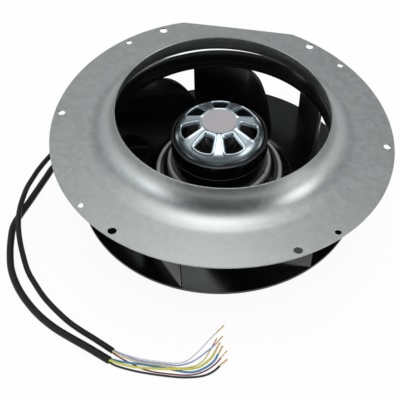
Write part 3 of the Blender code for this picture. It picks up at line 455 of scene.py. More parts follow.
@dataclass(frozen=True)
class FinishSet:
    """Every finish of the fan, by the piece it is for."""

    galvanised: Finish = Galvanised(
        "galvanised_sheet", (0.505, 0.52, 0.512), 0.37, metallic=1.0, colour_swing=0.08, rough_swing=0.03,
        patch_scale=14.0, bump=0.06)
    zinc: Finish = Finish(
        "bright_zinc", (0.68, 0.79, 0.84), 0.30, metallic=1.0, colour_swing=0.06, rough_swing=0.05,
        patch_scale=60.0, grain_scale=700.0, bump=0.08)
    paint: Finish = Finish(
        "gloss_black_paint", (0.003, 0.003, 0.0033), 0.2, specular=0.6, colour_swing=0.3, rough_swing=0.05,
        patch_scale=18.0, grain_scale=320.0, grain_share=0.8, bump=0.05)
    pressed: Finish = PressedPaint(
        "gloss_black_pressing", (0.003, 0.003, 0.0033), 0.2, specular=0.6, colour_swing=0.3, rough_swing=0.05,
        patch_scale=18.0, grain_scale=320.0, grain_share=0.8, bump=0.05,
        # Rings of lighter colour on the round edges: partly paint worn thin, partly a painted sheen.
        edges=((0.0612, 0.0022), (0.0498, 0.0022)))
    label: Finish = Finish(
        "label_film", (0.37, 0.355, 0.375), 0.45, specular=0.3, colour_swing=0.04, rough_swing=0.03,
        patch_scale=120.0, bump=0.0)
    cast: Finish = Finish(
        "cast_aluminium", (0.42, 0.43, 0.44), 0.5, metallic=0.9, colour_swing=0.1, grain_scale=1200.0,
        bump=0.25, bump_depth=0.0003)
    steel: Finish = Finish(
        "machined_steel", (0.50, 0.50, 0.51), 0.3, metallic=1.0, colour_swing=0.06, grain_scale=1500.0)
    laminate: Finish = Finish("lamination_stack", (0.03, 0.03, 0.032), 0.5, metallic=0.3, colour_swing=0.2)
    # The winding's near-black colour is painted shade: the darkness inside the rotor can, seen through its
    # windows.
    winding: Finish = Finish(
        "winding_with_painted_shade", (0.012, 0.008, 0.006), 0.45, specular=0.2, colour_swing=0.4,
        grain_scale=1500.0, bump=0.5, bump_depth=0.0006)
    magnet: Finish = Finish("magnet", (0.03, 0.03, 0.033), 0.6)
    phosphated: Finish = Finish("phosphated_steel", (0.03, 0.031, 0.033), 0.5, colour_swing=0.2, bump=0.1)
    board: Finish = Finish("circuit_board", (0.02, 0.11, 0.05), 0.5)
    rubber: Finish = Finish(
        "gland_rubber", (0.008, 0.008, 0.008), 0.55, specular=0.4, colour_swing=0.2, grain_scale=1800.0,
        bump=0.2, bump_depth=0.0002)
    sheath: Finish = Finish(
        "cable_sheath", (0.006, 0.006, 0.0063), 0.5, specular=0.3, colour_swing=0.25, patch_scale=60.0,
        grain_scale=1500.0, bump=0.15, bump_depth=0.0002)
    copper: Finish = Finish(
        "bare_copper", (0.86, 0.60, 0.30), 0.34, metallic=1.0, colour_swing=0.1, patch_scale=300.0)
    black: Finish = Finish(
        "black_insulation", (0.012, 0.012, 0.012), 0.42, colour_swing=0.2, patch_scale=150.0)
    red: Finish = Finish("red_insulation", (0.22, 0.02, 0.025), 0.42, patch_scale=150.0)
    yellow: Finish = Finish(
        "yellow_insulation", (0.80, 0.66, 0.30), 0.42, colour_swing=0.08, patch_scale=150.0)
    blue: Finish = Finish("blue_insulation", (0.06, 0.24, 0.48), 0.42, patch_scale=150.0)
    light_blue: Finish = Finish(
        "light_blue_insulation", (0.30, 0.36, 0.62), 0.42, colour_swing=0.1, patch_scale=150.0)
    white: Finish = Finish(
        "white_insulation", (0.76, 0.76, 0.75), 0.42, colour_swing=0.04, patch_scale=150.0)
    stripe_green: Finish = Finish(
        "green_stripe", (0.06, 0.20, 0.03), 0.42, colour_swing=0.1, patch_scale=150.0)
    stripe_yellow: Finish = Finish(
        "yellow_stripe", (0.62, 0.60, 0.07), 0.42, colour_swing=0.08, patch_scale=150.0)


@cache
def shared_patterns() -> Patterns:
    """The surface effects, made when first asked for."""
    return Patterns()


@cache
def paint(name: str) -> Material:
    """The material of a finish in FinishSet, made when first asked for."""
    return getattr(FinishSet(), name).build(shared_patterns())


# Meshes


def fillet(before: Vector, here: Vector, after: Vector, radius: float, arc_step: float = radians(7),
           steps: int = 0) -> list[Vector]:
    """Arc that rounds a corner.

    Args:
        before: The point before the corner.
        here: The corner.
        after: The point after the corner.
        radius: The arc's radius.
        arc_step: Largest turn between two neighbouring points of the arc.
        steps: Number of turns between points, or 0 to follow the largest turn.

    Returns:
        The arc's points.
    """
    back, onward = (before - here).normalized(), (after - here).normalized()
    half = acos(max(-1.0, min(1.0, back.dot(onward)))) / 2
    centre = here + (back + onward).normalized() * (radius / sin(half))
    start = here + back * (radius / tan(half)) - centre
    bend = pi - 2 * half
    steps = steps or max(1, ceil(bend / arc_step))
    if onward.cross(back) < 0:
        bend = -bend
    return [centre + Matrix.Rotation(bend * step / steps, 2) @ start for step in range(steps + 1)]


def rounded(corners: Sequence[tuple[float, float, float]], arc_step: float = radians(7)) -> list[Point2]:
    """Path through corners, with an arc at each corner that has a radius.

    Args:
        corners: Corners as (x, y, radius); the first and last keep their points.
        arc_step: Largest turn between two neighbouring points of an arc.

    Returns:
        The path's points.
    """
    path: list[Point2] = []
    for index, (x, y, radius) in enumerate(corners):
        if radius <= 0 or index in (0, len(corners) - 1):
            path.append((x, y))
            continue
        before, here, after = (Vector(corner[:2]) for corner in corners[index - 1:index + 2])
        path += [(point.x, point.y) for point in fillet(before, here, after, radius, arc_step)]
    return path


def offset(path: Sequence[Point2], distance: float) -> list[Point2]:
    """The path moved to its left.

    Args:
        path: Points of an open path.
        distance: How far, negative for the right.

    Returns:
        The moved points, with mitred corners.
    """
    moved: list[Point2] = []
    for index, (x, y) in enumerate(path):
        sides = []
        if index > 0:
            sides.append(Vector((x - path[index - 1][0], y - path[index - 1][1])).normalized())
        if index < len(path) - 1:
            sides.append(Vector((path[index + 1][0] - x, path[index + 1][1] - y)).normalized())
        normals = [Vector((-side.y, side.x)) for side in sides]
        mitre = sum(normals, Vector((0, 0))).normalized()
        reach = distance / mitre.dot(normals[0])
        moved.append((x + mitre.x * reach, y + mitre.y * reach))
    return moved


def soft_ends(path: Sequence[Point2], thickness: float, steps: int = 3) -> list[Point2]:
    """Closed section of a sheet to the path's left, with half-round edges.

    Args:
        path: One face of the sheet.
        thickness: The sheet's thickness.
        steps: Points on each round edge.

    Returns:
        The closed section.
    """
    other = offset(path, thickness)
    section = list(path)
    for first, second, inner in ((path[-1], other[-1], path[-2]), (other[0], path[0], path[1])):
        start, end = Vector(first), Vector(second)
        middle = (start + end) / 2
        arm = start - middle
        outer = first if first == path[-1] else second
        outwards = (Vector(outer) - Vector(inner)).normalized() * (thickness / 2)
        if first != path[-1]:
            section += other[::-1]
        for step in range(1, steps):
            angle = pi * step / steps
            point = middle + arm * cos(angle) + outwards * sin(angle)
            section.append((point.x, point.y))
    return section


def smooth(mesh: Mesh, angle: float = 35.0) -> Mesh:
    """Shades a mesh smooth.

    Args:
        mesh: The mesh, changed in place.
        angle: Edges sharper than this, in degrees, stay sharp.

    Returns:
        The same mesh.
    """
    mesh.shade_smooth()
    mesh.set_sharp_from_angle(angle=radians(angle))
    return mesh


def bake(bm: BMesh) -> Mesh:
    """Turns an edit mesh into a mesh.

    Args:
        bm: The edit mesh, which is freed.

    Returns:
        The new mesh.
    """
    mesh = bpy.data.meshes.new("mesh")
    bm.to_mesh(mesh)
    bm.free()
    return mesh


def bridge(bm: BMesh, rows: Sequence[Sequence[BMVert]]) -> list[BMFace]:
    """Joins closed rows of vertices, each to the next; a row may be a single vertex.

    Args:
        bm: The edit mesh.
        rows: Rows with the same number of vertices, or one.

    Returns:
        The new faces, row by row.
    """
    faces = []
    for first, second in zip(rows, rows[1:]):
        for i in range(max(len(first), len(second))):
            corners = (first[i % len(first)], first[(i + 1) % len(first)],
                       second[(i + 1) % len(second)], second[i % len(second)])
            unique = list(dict.fromkeys(corners))
            if len(unique) > 2:
                faces.append(bm.faces.new(unique))
    return faces


def revolved(points: Sequence[Point2], steps: int, closed: bool = True) -> Mesh:
    """Turns a section about Z.

    Args:
        points: The section as (radius, height).
        steps: Facets of a full turn.
        closed: Whether the section's end joins its start.

    Returns:
        The turned mesh, with its faces pointing out.
    """
    bm = bmesh.new()
    rings = []
    for radius, height in points:
        places = around(steps, radius) if radius > 0 else [(0.0, 0.0)]
        rings.append([bm.verts.new((*place, height)) for place in places])
    bridge(bm, rings + rings[:1] if closed else rings)
    bmesh.ops.recalc_face_normals(bm, faces=bm.faces)
    return smooth(bake(bm))


def swept(points: Sequence[Vector], radius: float, sides: int, stripe: tuple[int, int] = (0, 0)) -> Mesh:
    """Round tube along a path, closed at both ends.

    Args:
        points: The path.
        radius: The tube's radius.
        sides: Facets round the tube.
        stripe: First facet of a stripe in the second material, and the first one after it.

    Returns:
        The tube's mesh.
    """
    bm = bmesh.new()
    last = len(points) - 1
    tangents = [(points[min(i + 1, last)] - points[max(i - 1, 0)]).normalized() for i in range(len(points))]
    side = tangents[0].orthogonal().normalized()
    rings = []
    for point, tangent in zip(points, tangents):
        side = (side - tangent * side.dot(tangent)).normalized()
        other = tangent.cross(side)
        rings.append([bm.verts.new(point + side * u + other * v) for u, v in around(sides, radius)])
    for k, face in enumerate(bridge(bm, rings)):
        face.material_index = int(stripe[0] <= k % sides < stripe[1])
    bm.faces.new(rings[0][::-1])
    bm.faces.new(rings[-1])
    bmesh.ops.recalc_face_normals(bm, faces=bm.faces)
    return smooth(bake(bm), 50.0)


def merged(meshes: Iterable[Mesh]) -> Mesh:
    """One mesh that holds several.

    Args:
        meshes: The meshes, which are removed.

    Returns:
        The joined mesh.
    """
    bm = bmesh.new()
    for mesh in meshes:
        bm.from_mesh(mesh)
        bpy.data.meshes.remove(mesh)
    return bake(bm)


def show(name: str, mesh: Mesh, material: Material) -> Object:
    """Places a mesh in the scene with one material.

    Args:
        name: The name of the object and its mesh.
        mesh: The mesh.
        material: Its material.

    Returns:
        The new object.
    """
    mesh.name = name
    mesh.materials.append(material)
    obj = bpy.data.objects.new(name, mesh)
    bpy.context.scene.collection.objects.link(obj)
    return obj


def install(obj: Object, node: str, body: Body) -> None:
    """Lets a piece stand for a solid.

    Args:
        obj: The piece.
        node: The solid's node.
        body: The body that the piece rides on.
    """
    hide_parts(node)
    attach(obj, body.value)


def carve(obj: Object, cutter: Mesh, place: Matrix | None = None) -> None:
    """Cuts a shape out of an object and applies the cut.

    Args:
        obj: The object to cut.
        cutter: A closed mesh, which is removed.
        place: Where the cutter stands.
    """
    tool = bpy.data.objects.new("cutter", cutter)
    bpy.context.scene.collection.objects.link(tool)
    if place is not None:
        tool.matrix_world = place
    modifier = obj.modifiers.new("Cut", "BOOLEAN")
    modifier.operation = "DIFFERENCE"
    modifier.object = tool
    modifier.solver = "EXACT"
    bpy.context.view_layer.update()
    evaluated = obj.evaluated_get(bpy.context.evaluated_depsgraph_get())
    result = bpy.data.meshes.new_from_object(evaluated)
    old = obj.data
    obj.modifiers.clear()
    obj.data = result
    bpy.data.meshes.remove(old)
    bpy.data.objects.remove(tool)
    bpy.data.meshes.remove(cutter)


def pins(places: Sequence[Point2], radius: float, low: float, high: float, steps: int) -> Mesh:
    """Upright cylinders of one radius.

    Args:
        places: Their centres.
        radius: Their radius.
        low: Height of their lower ends.
        high: Height of their upper ends.
        steps: Facets of each.

    Returns:
        One mesh with all of them.
    """
    bm = bmesh.new()
    for x, y in places:
        centre = Matrix.Translation((x, y, (low + high) / 2))
        bmesh.ops.create_cone(bm, cap_ends=True, segments=steps, radius1=radius, radius2=radius,
                              depth=high - low, matrix=centre)
    return bake(bm)


def on_circle(radius: float, angle: float) -> Point2:
    """The point at a radius and an angle."""
    return radius * cos(angle), radius * sin(angle)


def around(count: int, radius: float, start: float = 0.0) -> list[Point2]:
    """Places spread evenly round a circle."""
    return [on_circle(radius, start + 2 * pi * i / count) for i in range(count)]


def smooth_route(points: Sequence[Vector], spacing: float) -> list[Vector]:
    """Points about one spacing apart on a smooth curve.

    Args:
        points: Points that the curve goes through.
        spacing: Distance between neighbouring results.

    Returns:
        The curve's points, with both ends kept.
    """
    ends = [2 * points[0] - points[1]] + list(points) + [2 * points[-1] - points[-2]]
    fine: list[Vector] = []
    for p0, p1, p2, p3 in zip(ends, ends[1:], ends[2:], ends[3:]):
        for step in range(CURVE_STEPS):
            t = step / CURVE_STEPS
            fine.append(0.5 * (2 * p1 + (p2 - p0) * t + (2 * p0 - 5 * p1 + 4 * p2 - p3) * t * t
                               + (3 * p1 - p0 - 3 * p2 + p3) * t ** 3))
    fine.append(points[-1])
    total = path_length(fine)
    count = max(4, round(total / spacing))
    even = [fine[0]]
    gone = 0.0
    for a, b in zip(fine, fine[1:]):
        step_length = (b - a).length
        while len(even) < count and gone + step_length >= total * len(even) / count:
            even.append(a.lerp(b, (total * len(even) / count - gone) / step_length))
        gone += step_length
    even.append(fine[-1])
    return even


def path_length(points: Sequence[Vector]) -> float:
    """Length of a chain of points."""
    return sum((b - a).length for a, b in zip(points, points[1:]))


# Sub-assemblies


@dataclass
class InletRing:
    """Pressed sheet ring that lies upside down and a little tipped on the impeller's eye."""

    radius: float = 0.163
    wall: float = 0.0012
    flat_distance: float = 0.152
    throat_radius: float = 0.100
    bell_radius: float = 0.0276
    lip: float = 0.0010
    mount_point: tuple[float, float, float] = (0.0, -0.145, 0.0012)
    spring: float = 0.0026
    spring_radius: float = 0.160
    spring_angle: float = radians(109.2)
    rim_radius: float = 0.106
    flange_steps: int = 12
    bell_steps: int = 24
    turn_steps: int = 240
    block: tuple[float, float, float] = (0.3, 0.03, 0.01)
    hole_reach: float = 0.005
    hole_steps: int = 32
    holes: tuple[tuple[float, float, tuple[int, ...]], ...] = (
        (0.1564, 0.0040, (60, 120, 240, 300)),
        (0.1570, 0.0030, (45, 135, 225, 315)),
        (0.1560, 0.0034, (0, 180)),
    )

    def seat(self) -> Matrix:
        """Where the ring lies: its face's mount gives a point and the face's normal.

        Returns:
            The matrix from the ring's own frame to the fan's.
        """
        mount = next(m for m in frame["record"]["mounts"] if m["name"] == "inlet_ring_face")
        turn = Vector((0, 0, 1)).rotation_difference(Vector(mount["axis"])).to_matrix()
        origin = Vector(mount["pos_m"]) - turn @ Vector(self.mount_point)
        return Matrix.Translation(origin) @ turn.to_4x4()

    def bend(self, mesh: Mesh) -> None:
        """Springs the loose sheet a little, so that it rests on the rim at two sides only.

        Args:
            mesh: The flat ring's mesh.
        """
        lift = self.spring * (self.rim_radius / self.spring_radius) ** 2
        for vertex in mesh.vertices:
            x, y, _ = vertex.co
            turn = 2 * (atan2(y, x) - self.spring_angle)
            vertex.co.z += lift + self.spring * (x * x + y * y) / self.spring_radius ** 2 * cos(turn)

    def section(self) -> list[Point2]:
        """Section of the sheet, from the flange's edge to the throat's rim.

        Returns:
            The closed section with round edges.
        """
        width = self.radius - self.throat_radius - self.bell_radius
        flange = [(self.radius - width * i / self.flange_steps, 0.0) for i in range(self.flange_steps)]
        turns = [pi / 2 * i / self.bell_steps for i in range(self.bell_steps + 1)]
        bell = [(self.throat_radius + self.bell_radius * (1 - sin(a)), self.bell_radius * (1 - cos(a)))
                for a in turns]
        return soft_ends(flange + bell + [(self.throat_radius, self.bell_radius + self.lip)], -self.wall)

    def build(self) -> None:
        """Makes the ring, cuts its straight side and holes, and puts it on its seat."""
        ring = show("inlet_ring_sheet", revolved(self.section(), self.turn_steps), paint("galvanised"))
        block = bmesh.new()
        place = Matrix.Translation((0, self.flat_distance + self.block[1] / 2, 0))
        bmesh.ops.create_cube(block, size=1, matrix=place @ Matrix.Diagonal((*self.block, 1)))
        carve(ring, bake(block))
        for circle, radius, angles in self.holes:
            places = [on_circle(circle, radians(angle)) for angle in angles]
            carve(ring, pins(places, radius, -self.hole_reach, self.hole_reach, self.hole_steps))
        self.bend(ring.data)
        ring.data.transform(self.seat())
        smooth(ring.data)
        install(ring, "inlet_ring", Body.RING)


@dataclass
class RotorCan:
    """Deep-drawn can whose sloping top has seven windows with raised lips."""

    plate_z: float = 0.026
    radius: float = 0.0439
    wall: float = 0.0016
    corners: tuple[tuple[float, float, float], ...] = (
        (0.0, 0.082, 0.0), (0.0185, 0.082, 0.006), (0.0439, 0.0725, 0.0183), (0.0439, 0.022, 0.0))
    window_count: int = 7
    window_angle: float = radians(95.0)
    window_inner: float = 0.0190
    window_outer: float = 0.0380
    window_half: float = radians(17)
    window_corner: float = 0.0030
    corner_shrink: float = 0.8
    corner_steps: int = 6
    side_steps: int = 8
    outer_bulge: float = 0.75
    seam_radius: float = 0.0418
    seam_steps: int = 224
    grid: float = 0.0011
    grid_clearance: float = 0.6
    grid_twist: float = 37.0
    lip: tuple[tuple[float, float], ...] = (
        (-2.4, 0.0), (-2.0, 0.06), (-1.5, 0.26), (-1.0, 0.50), (-0.5, 0.62), (0.0, 0.54), (0.40, 0.28),
        (0.80, -0.15), (1.20, -0.75), (1.60, -1.6), (1.90, -2.6), (2.10, -3.8))
    label_radius: float = 0.0165
    label_height: float = 0.0005
    label_edge: float = 0.0002
    label_steps: int = 120

    def profile(self) -> list[Point2]:
        """Outer surface from the middle of the top down to the open edge."""
        return [(r, z + self.plate_z) for r, z in rounded(self.corners, radians(4))]

    def top(self, radius: float) -> float:
        """Height of the outer surface at a radius inside the seam."""
        path = [point for point in self.profile() if point[0] <= self.radius - 1e-5]
        return float(np.interp(radius, [p[0] for p in path], [p[1] for p in path]))

    def window_loop(self, angle: float, inset: float) -> list[Vector]:
        """Outline of a window, moved inwards by an inset.

        Args:
            angle: Direction of the window's middle.
            inset: How far the outline is moved towards the window's middle.

        Returns:
            The outline's points, as many for every inset.
        """
        inner, outer = self.window_inner + inset, self.window_outer - inset
        radius = self.window_corner - inset * self.corner_shrink
        corners = [Vector(on_circle(r, angle + side * (self.window_half - inset / r)))
                   for r, side in ((inner, -1), (outer, -1), (outer, 1), (inner, 1))]
        arcs = [fillet(corners[i - 1], corners[i], corners[(i + 1) % 4], radius, steps=self.corner_steps)
                for i in range(4)]
        loop: list[Vector] = []
        bulge = (1 - cos(self.window_half)) * outer * self.outer_bulge
        for i, arc in enumerate(arcs):
            loop += arc
            for k in range(1, self.side_steps):
                share = k / self.side_steps
                point = arc[-1].lerp(arcs[(i + 1) % 4][0], share)
                if i == 1:
                    point += Vector(on_circle(bulge * 4 * share * (1 - share), angle))
                loop.append(point)
        return loop

    def top_mesh(self) -> Mesh:
        """Outer surface with the windows' lips and drawn walls.

        Returns:
            The open mesh.
        """
        angles = [self.window_angle + 2 * pi * i / self.window_count for i in range(self.window_count)]
        outlines = [self.window_loop(angle, self.lip[0][0] * MM) for angle in angles]
        points: list[Vector] = []
        edges: list[tuple[int, int]] = []
        for line in ([Vector(p) for p in around(self.seam_steps, self.seam_radius)], *outlines):
            base = len(points)
            points += line
            edges += [(base + i, base + (i + 1) % len(line)) for i in range(len(line))]
        loops = [np.array([tuple(p) for p in outline]) for outline in outlines]
        points += self.grid_points(loops)
        flat, _, faces, _, _, _ = delaunay_2d_cdt(points, edges, [], 0, 1e-7)
        bm = bmesh.new()
        verts = [bm.verts.new((p.x, p.y, self.top(p.length))) for p in flat]
        for face in faces:
            middle = sum((flat[i] for i in face), Vector((0, 0))) / len(face)
            windowed = any(self.inside(loop, middle.x, middle.y) for loop in loops)
            if middle.length < self.seam_radius and not windowed:
                bm.faces.new([verts[i] for i in face])
        for angle in angles:
            self.add_lip(bm, angle)
        skirt = [(self.seam_radius, self.top(self.seam_radius))]
        skirt += [point for point in self.profile() if point[0] > self.seam_radius]
        bridge(bm, [[bm.verts.new((x, y, z)) for x, y in around(self.seam_steps, r)] for r, z in skirt])
        bmesh.ops.remove_doubles(bm, verts=bm.verts, dist=2e-6)
        loose = [v for v in bm.verts if not v.link_faces]
        bmesh.ops.delete(bm, geom=loose, context="VERTS")
        bmesh.ops.recalc_face_normals(bm, faces=bm.faces)
        return smooth(bake(bm), 60.0)

    def grid_points(self, loops: Sequence[np.ndarray]) -> list[Vector]:
        """Even points inside the seam, clear of it and of the windows.

        Args:
            loops: The windows' outlines.

        Returns:
            The points.
        """
        points = []
        clearance = self.grid_clearance * self.grid
        radius = self.grid
        while radius < self.seam_radius - clearance:
            count = round(2 * pi * radius / self.grid)
            for x, y in around(count, radius, radius * self.grid_twist):
                clear = min(np.min(np.hypot(loop[:, 0] - x, loop[:, 1] - y)) for loop in loops)
                if clear > clearance and not any(self.inside(loop, x, y) for loop in loops):
                    points.append(Vector((x, y)))
            radius += self.grid
        return points

    @staticmethod
    def inside(loop: np.ndarray, x: float, y: float) -> bool:
        """Tells whether a point lies within a closed outline.

        Args:
            loop: The outline's corners.
            x: The point's first coordinate.
            y: The point's second coordinate.

        Returns:
            True for a point inside.
        """
        nxt = np.roll(loop, -1, axis=0)
        crosses = (loop[:, 1] > y) != (nxt[:, 1] > y)
        with np.errstate(divide="ignore", invalid="ignore"):
            at = (nxt[:, 0] - loop[:, 0]) * (y - loop[:, 1]) / (nxt[:, 1] - loop[:, 1]) + loop[:, 0]
        return bool(np.count_nonzero(crosses & (x < at)) % 2)

    def add_lip(self, bm: BMesh, angle: float) -> None:
        """Adds the raised lip and the drawn wall of the window in a direction."""
        bridge(bm, [[bm.verts.new((p.x, p.y, self.top(p.length) + rise * MM))
                     for p in self.window_loop(angle, inset * MM)] for inset, rise in self.lip])

    def build(self) -> None:
        """Makes the can's sheet and the bare label on its top."""
        can = show("rotor_can_shell", self.top_mesh(), paint("zinc"))
        shell = can.modifiers.new("Sheet", "SOLIDIFY")
        shell.thickness = self.wall
        shell.offset = -1.0
        install(can, "rotor_can", Body.IMPELLER)
        low = self.plate_z + self.corners[0][1] + GAP
        high = low + self.label_height
        reach = self.label_radius
        section = rounded([(0, high, 0), (reach, high, self.label_edge), (reach, low, 0), (0, low, 0)])
        disc = revolved(section, self.label_steps, closed=False)
        label = show("label_film_disc", disc, paint("label"))
        install(label, "label_disc", Body.IMPELLER)


@dataclass
class Impeller:
    """Back plate, cover ring, rotor collar and blades of the impeller."""

    plate_z: float = 0.026
    radius: float = 0.140
    plate_wall: float = 0.0025
    neck_inner: float = 0.0442
    dish: tuple[tuple[float, float, float], ...] = (
        (0.140, 0.0025, 0.0), (0.0755, 0.0025, 0.008), (0.0625, 0.0202, 0.0026), (0.054, 0.0202, 0.0030),
        (0.0508, 0.0332, 0.0016), (0.0474, 0.0332, 0.0010), (0.0467, 0.0488, 0.0))
    dish_inner_round: float = 0.003
    vent: tuple[float, float, float] = (0.0486, radians(-19), 0.0011)
    vent_reach: tuple[float, float] = (-0.005, 0.002)
    vent_steps: int = 20
    collar: tuple[tuple[float, float, float], ...] = (
        (0.0442, 0.066, 0.0), (0.0467, 0.066, 0.0016), (0.0467, 0.0503, 0.0003),
        (0.0471, 0.0503, 0.0002), (0.0471, 0.0491, 0.0002), (0.0442, 0.0491, 0.0))
    eye_radius: float = 0.104
    cover_wall: float = 0.002
    eye_top: float = 0.0825
    bend_rise: float = 0.0596
    bend_radius: float = 0.007
    outlet_rise: float = 0.0530
    blade_count: int = 7
    blade_tip: float = radians(108.1)
    blade_wrap: float = radians(52.6)
    blade_root: float = 0.084
    blade_shroud: float = 0.108
    blade_inset: float = 0.001
    blade_foot_height: float = 0.012
    blade_thickness: tuple[float, float] = (0.0013, 0.0026)
    blade_section: tuple[tuple[float, float | None], ...] = (
        (1.0, None), (-1.0, None), (-1.0, 0.9), (-0.6, 0.25), (0.0, 0.0), (0.6, 0.25), (1.0, 0.9))
    blade_rise: float = 1.15
    blade_steps: int = 72
    plate_steps: int = 200
    cover_steps: int = 240

    def lifted(self, path: Iterable[Sequence[float]]) -> list[tuple[float, ...]]:
        """Section points counted from the back plate, put in the fan's frame."""
        return [(p[0], p[1] + self.plate_z, *p[2:]) for p in path]

    def cover_path(self) -> list[Point2]:
        """Inner surface of the cover ring from the eye's rim to the outlet."""
        corners = [(self.eye_radius, self.eye_top, 0), (self.eye_radius, self.bend_rise, self.bend_radius),
                   (self.radius, self.outlet_rise, 0)]
        return rounded(self.lifted(corners), radians(6))

    def under_cover(self, radius: float) -> float:
        """Height of the cover's inner surface at a radius outside the eye."""
        path = [p for p in self.cover_path() if p[0] > self.eye_radius + 1e-6]
        return float(np.interp(radius, [p[0] for p in path], [p[1] for p in path]))

    def blade_top(self, radius: float) -> float:
        """Finds the height of a blade's upper edge.

        Args:
            radius: Distance from the shaft's axis.

        Returns:
            The height in the fan's frame.
        """
        low = self.plate_z + self.plate_wall + GAP + self.blade_foot_height
        full = self.under_cover(self.blade_shroud) - GAP
        if radius >= self.blade_shroud:
            return self.under_cover(radius) - GAP
        share = max(0.0, (radius - self.blade_root) / (self.blade_shroud - self.blade_root))
        return low + (full - low) * sin(pi / 2 * share) ** self.blade_rise

    def blade_mesh(self) -> Mesh:
        """One blade with a rounded free edge.

        Returns:
            The blade for a trailing edge at angle 0.
        """
        tip = self.radius - self.blade_inset
        foot = self.plate_z + self.plate_wall + GAP
        slope = self.blade_wrap / (tip - self.blade_root)
        thin, thick = self.blade_thickness
        bm = bmesh.new()
        rows = []
        for step in range(self.blade_steps + 1):
            share = step / self.blade_steps
            radius = self.blade_root + (tip - self.blade_root) * share
            angle = -self.blade_wrap * (1 - share)
            turn = radius * slope
            along = Vector((cos(angle) - turn * sin(angle), sin(angle) + turn * cos(angle)))
            side = Vector((-along.y, along.x)).normalized()
            half = (thin + (thick - thin) * sin(pi * share)) / 2
            centre = Vector(on_circle(radius, angle))
            row = []
            for across, drop in self.blade_section:
                spot = centre + side * half * across
                height = foot if drop is None else self.blade_top(spot.length) - drop * half
                row.append(bm.verts.new((*spot, height)))
            rows.append(row)
        bridge(bm, rows)
        bm.faces.new(rows[0][::-1])
        bm.faces.new(rows[-1])
        bmesh.ops.recalc_face_normals(bm, faces=bm.faces)
        return smooth(bake(bm), 40.0)

    def build(self) -> None:
        """Makes the plate, cover, collar and blades."""
        upper = rounded(self.lifted(self.dish))
        lower = offset([corner[:2] for corner in self.dish], self.plate_wall)
        under = rounded(self.lifted([(*point, self.dish_inner_round) for point in lower]))
        under[-1] = (self.neck_inner, upper[-1][1])
        sheet = revolved(upper + under[::-1], self.plate_steps)
        plate = show("back_plate_pressing", sheet, paint("pressed"))
        circle, angle, radius = self.vent
        low, high = (self.plate_z + self.dish[4][1] + reach for reach in self.vent_reach)
        carve(plate, pins([on_circle(circle, angle)], radius, low, high, self.vent_steps))
        smooth(plate.data)
        self.place(plate, "back_plate")

        sheet = revolved(soft_ends(self.cover_path(), self.cover_wall), self.cover_steps)
        self.place(show("cover_ring_pressing", sheet, paint("paint")), "shroud")

        sleeve = revolved(rounded(self.lifted(self.collar), radians(15)), self.plate_steps)
        self.place(show("rotor_collar_sleeve", sleeve, paint("paint")), "rotor_collar")

        mesh = self.blade_mesh()
        for index in range(self.blade_count):
            turned = mesh.copy()
            turned.transform(Matrix.Rotation(self.blade_tip - 2 * pi * index / self.blade_count, 4, "Z"))
            self.place(show(f"blade_sheet_{index + 1}", turned, paint("paint")), f"blade_{index + 1}")
        bpy.data.meshes.remove(mesh)

    @staticmethod
    def place(obj: Object, node: str) -> None:
        """Lets a painted piece stand for its solid and turn with the impeller."""
        install(obj, node, Body.IMPELLER)


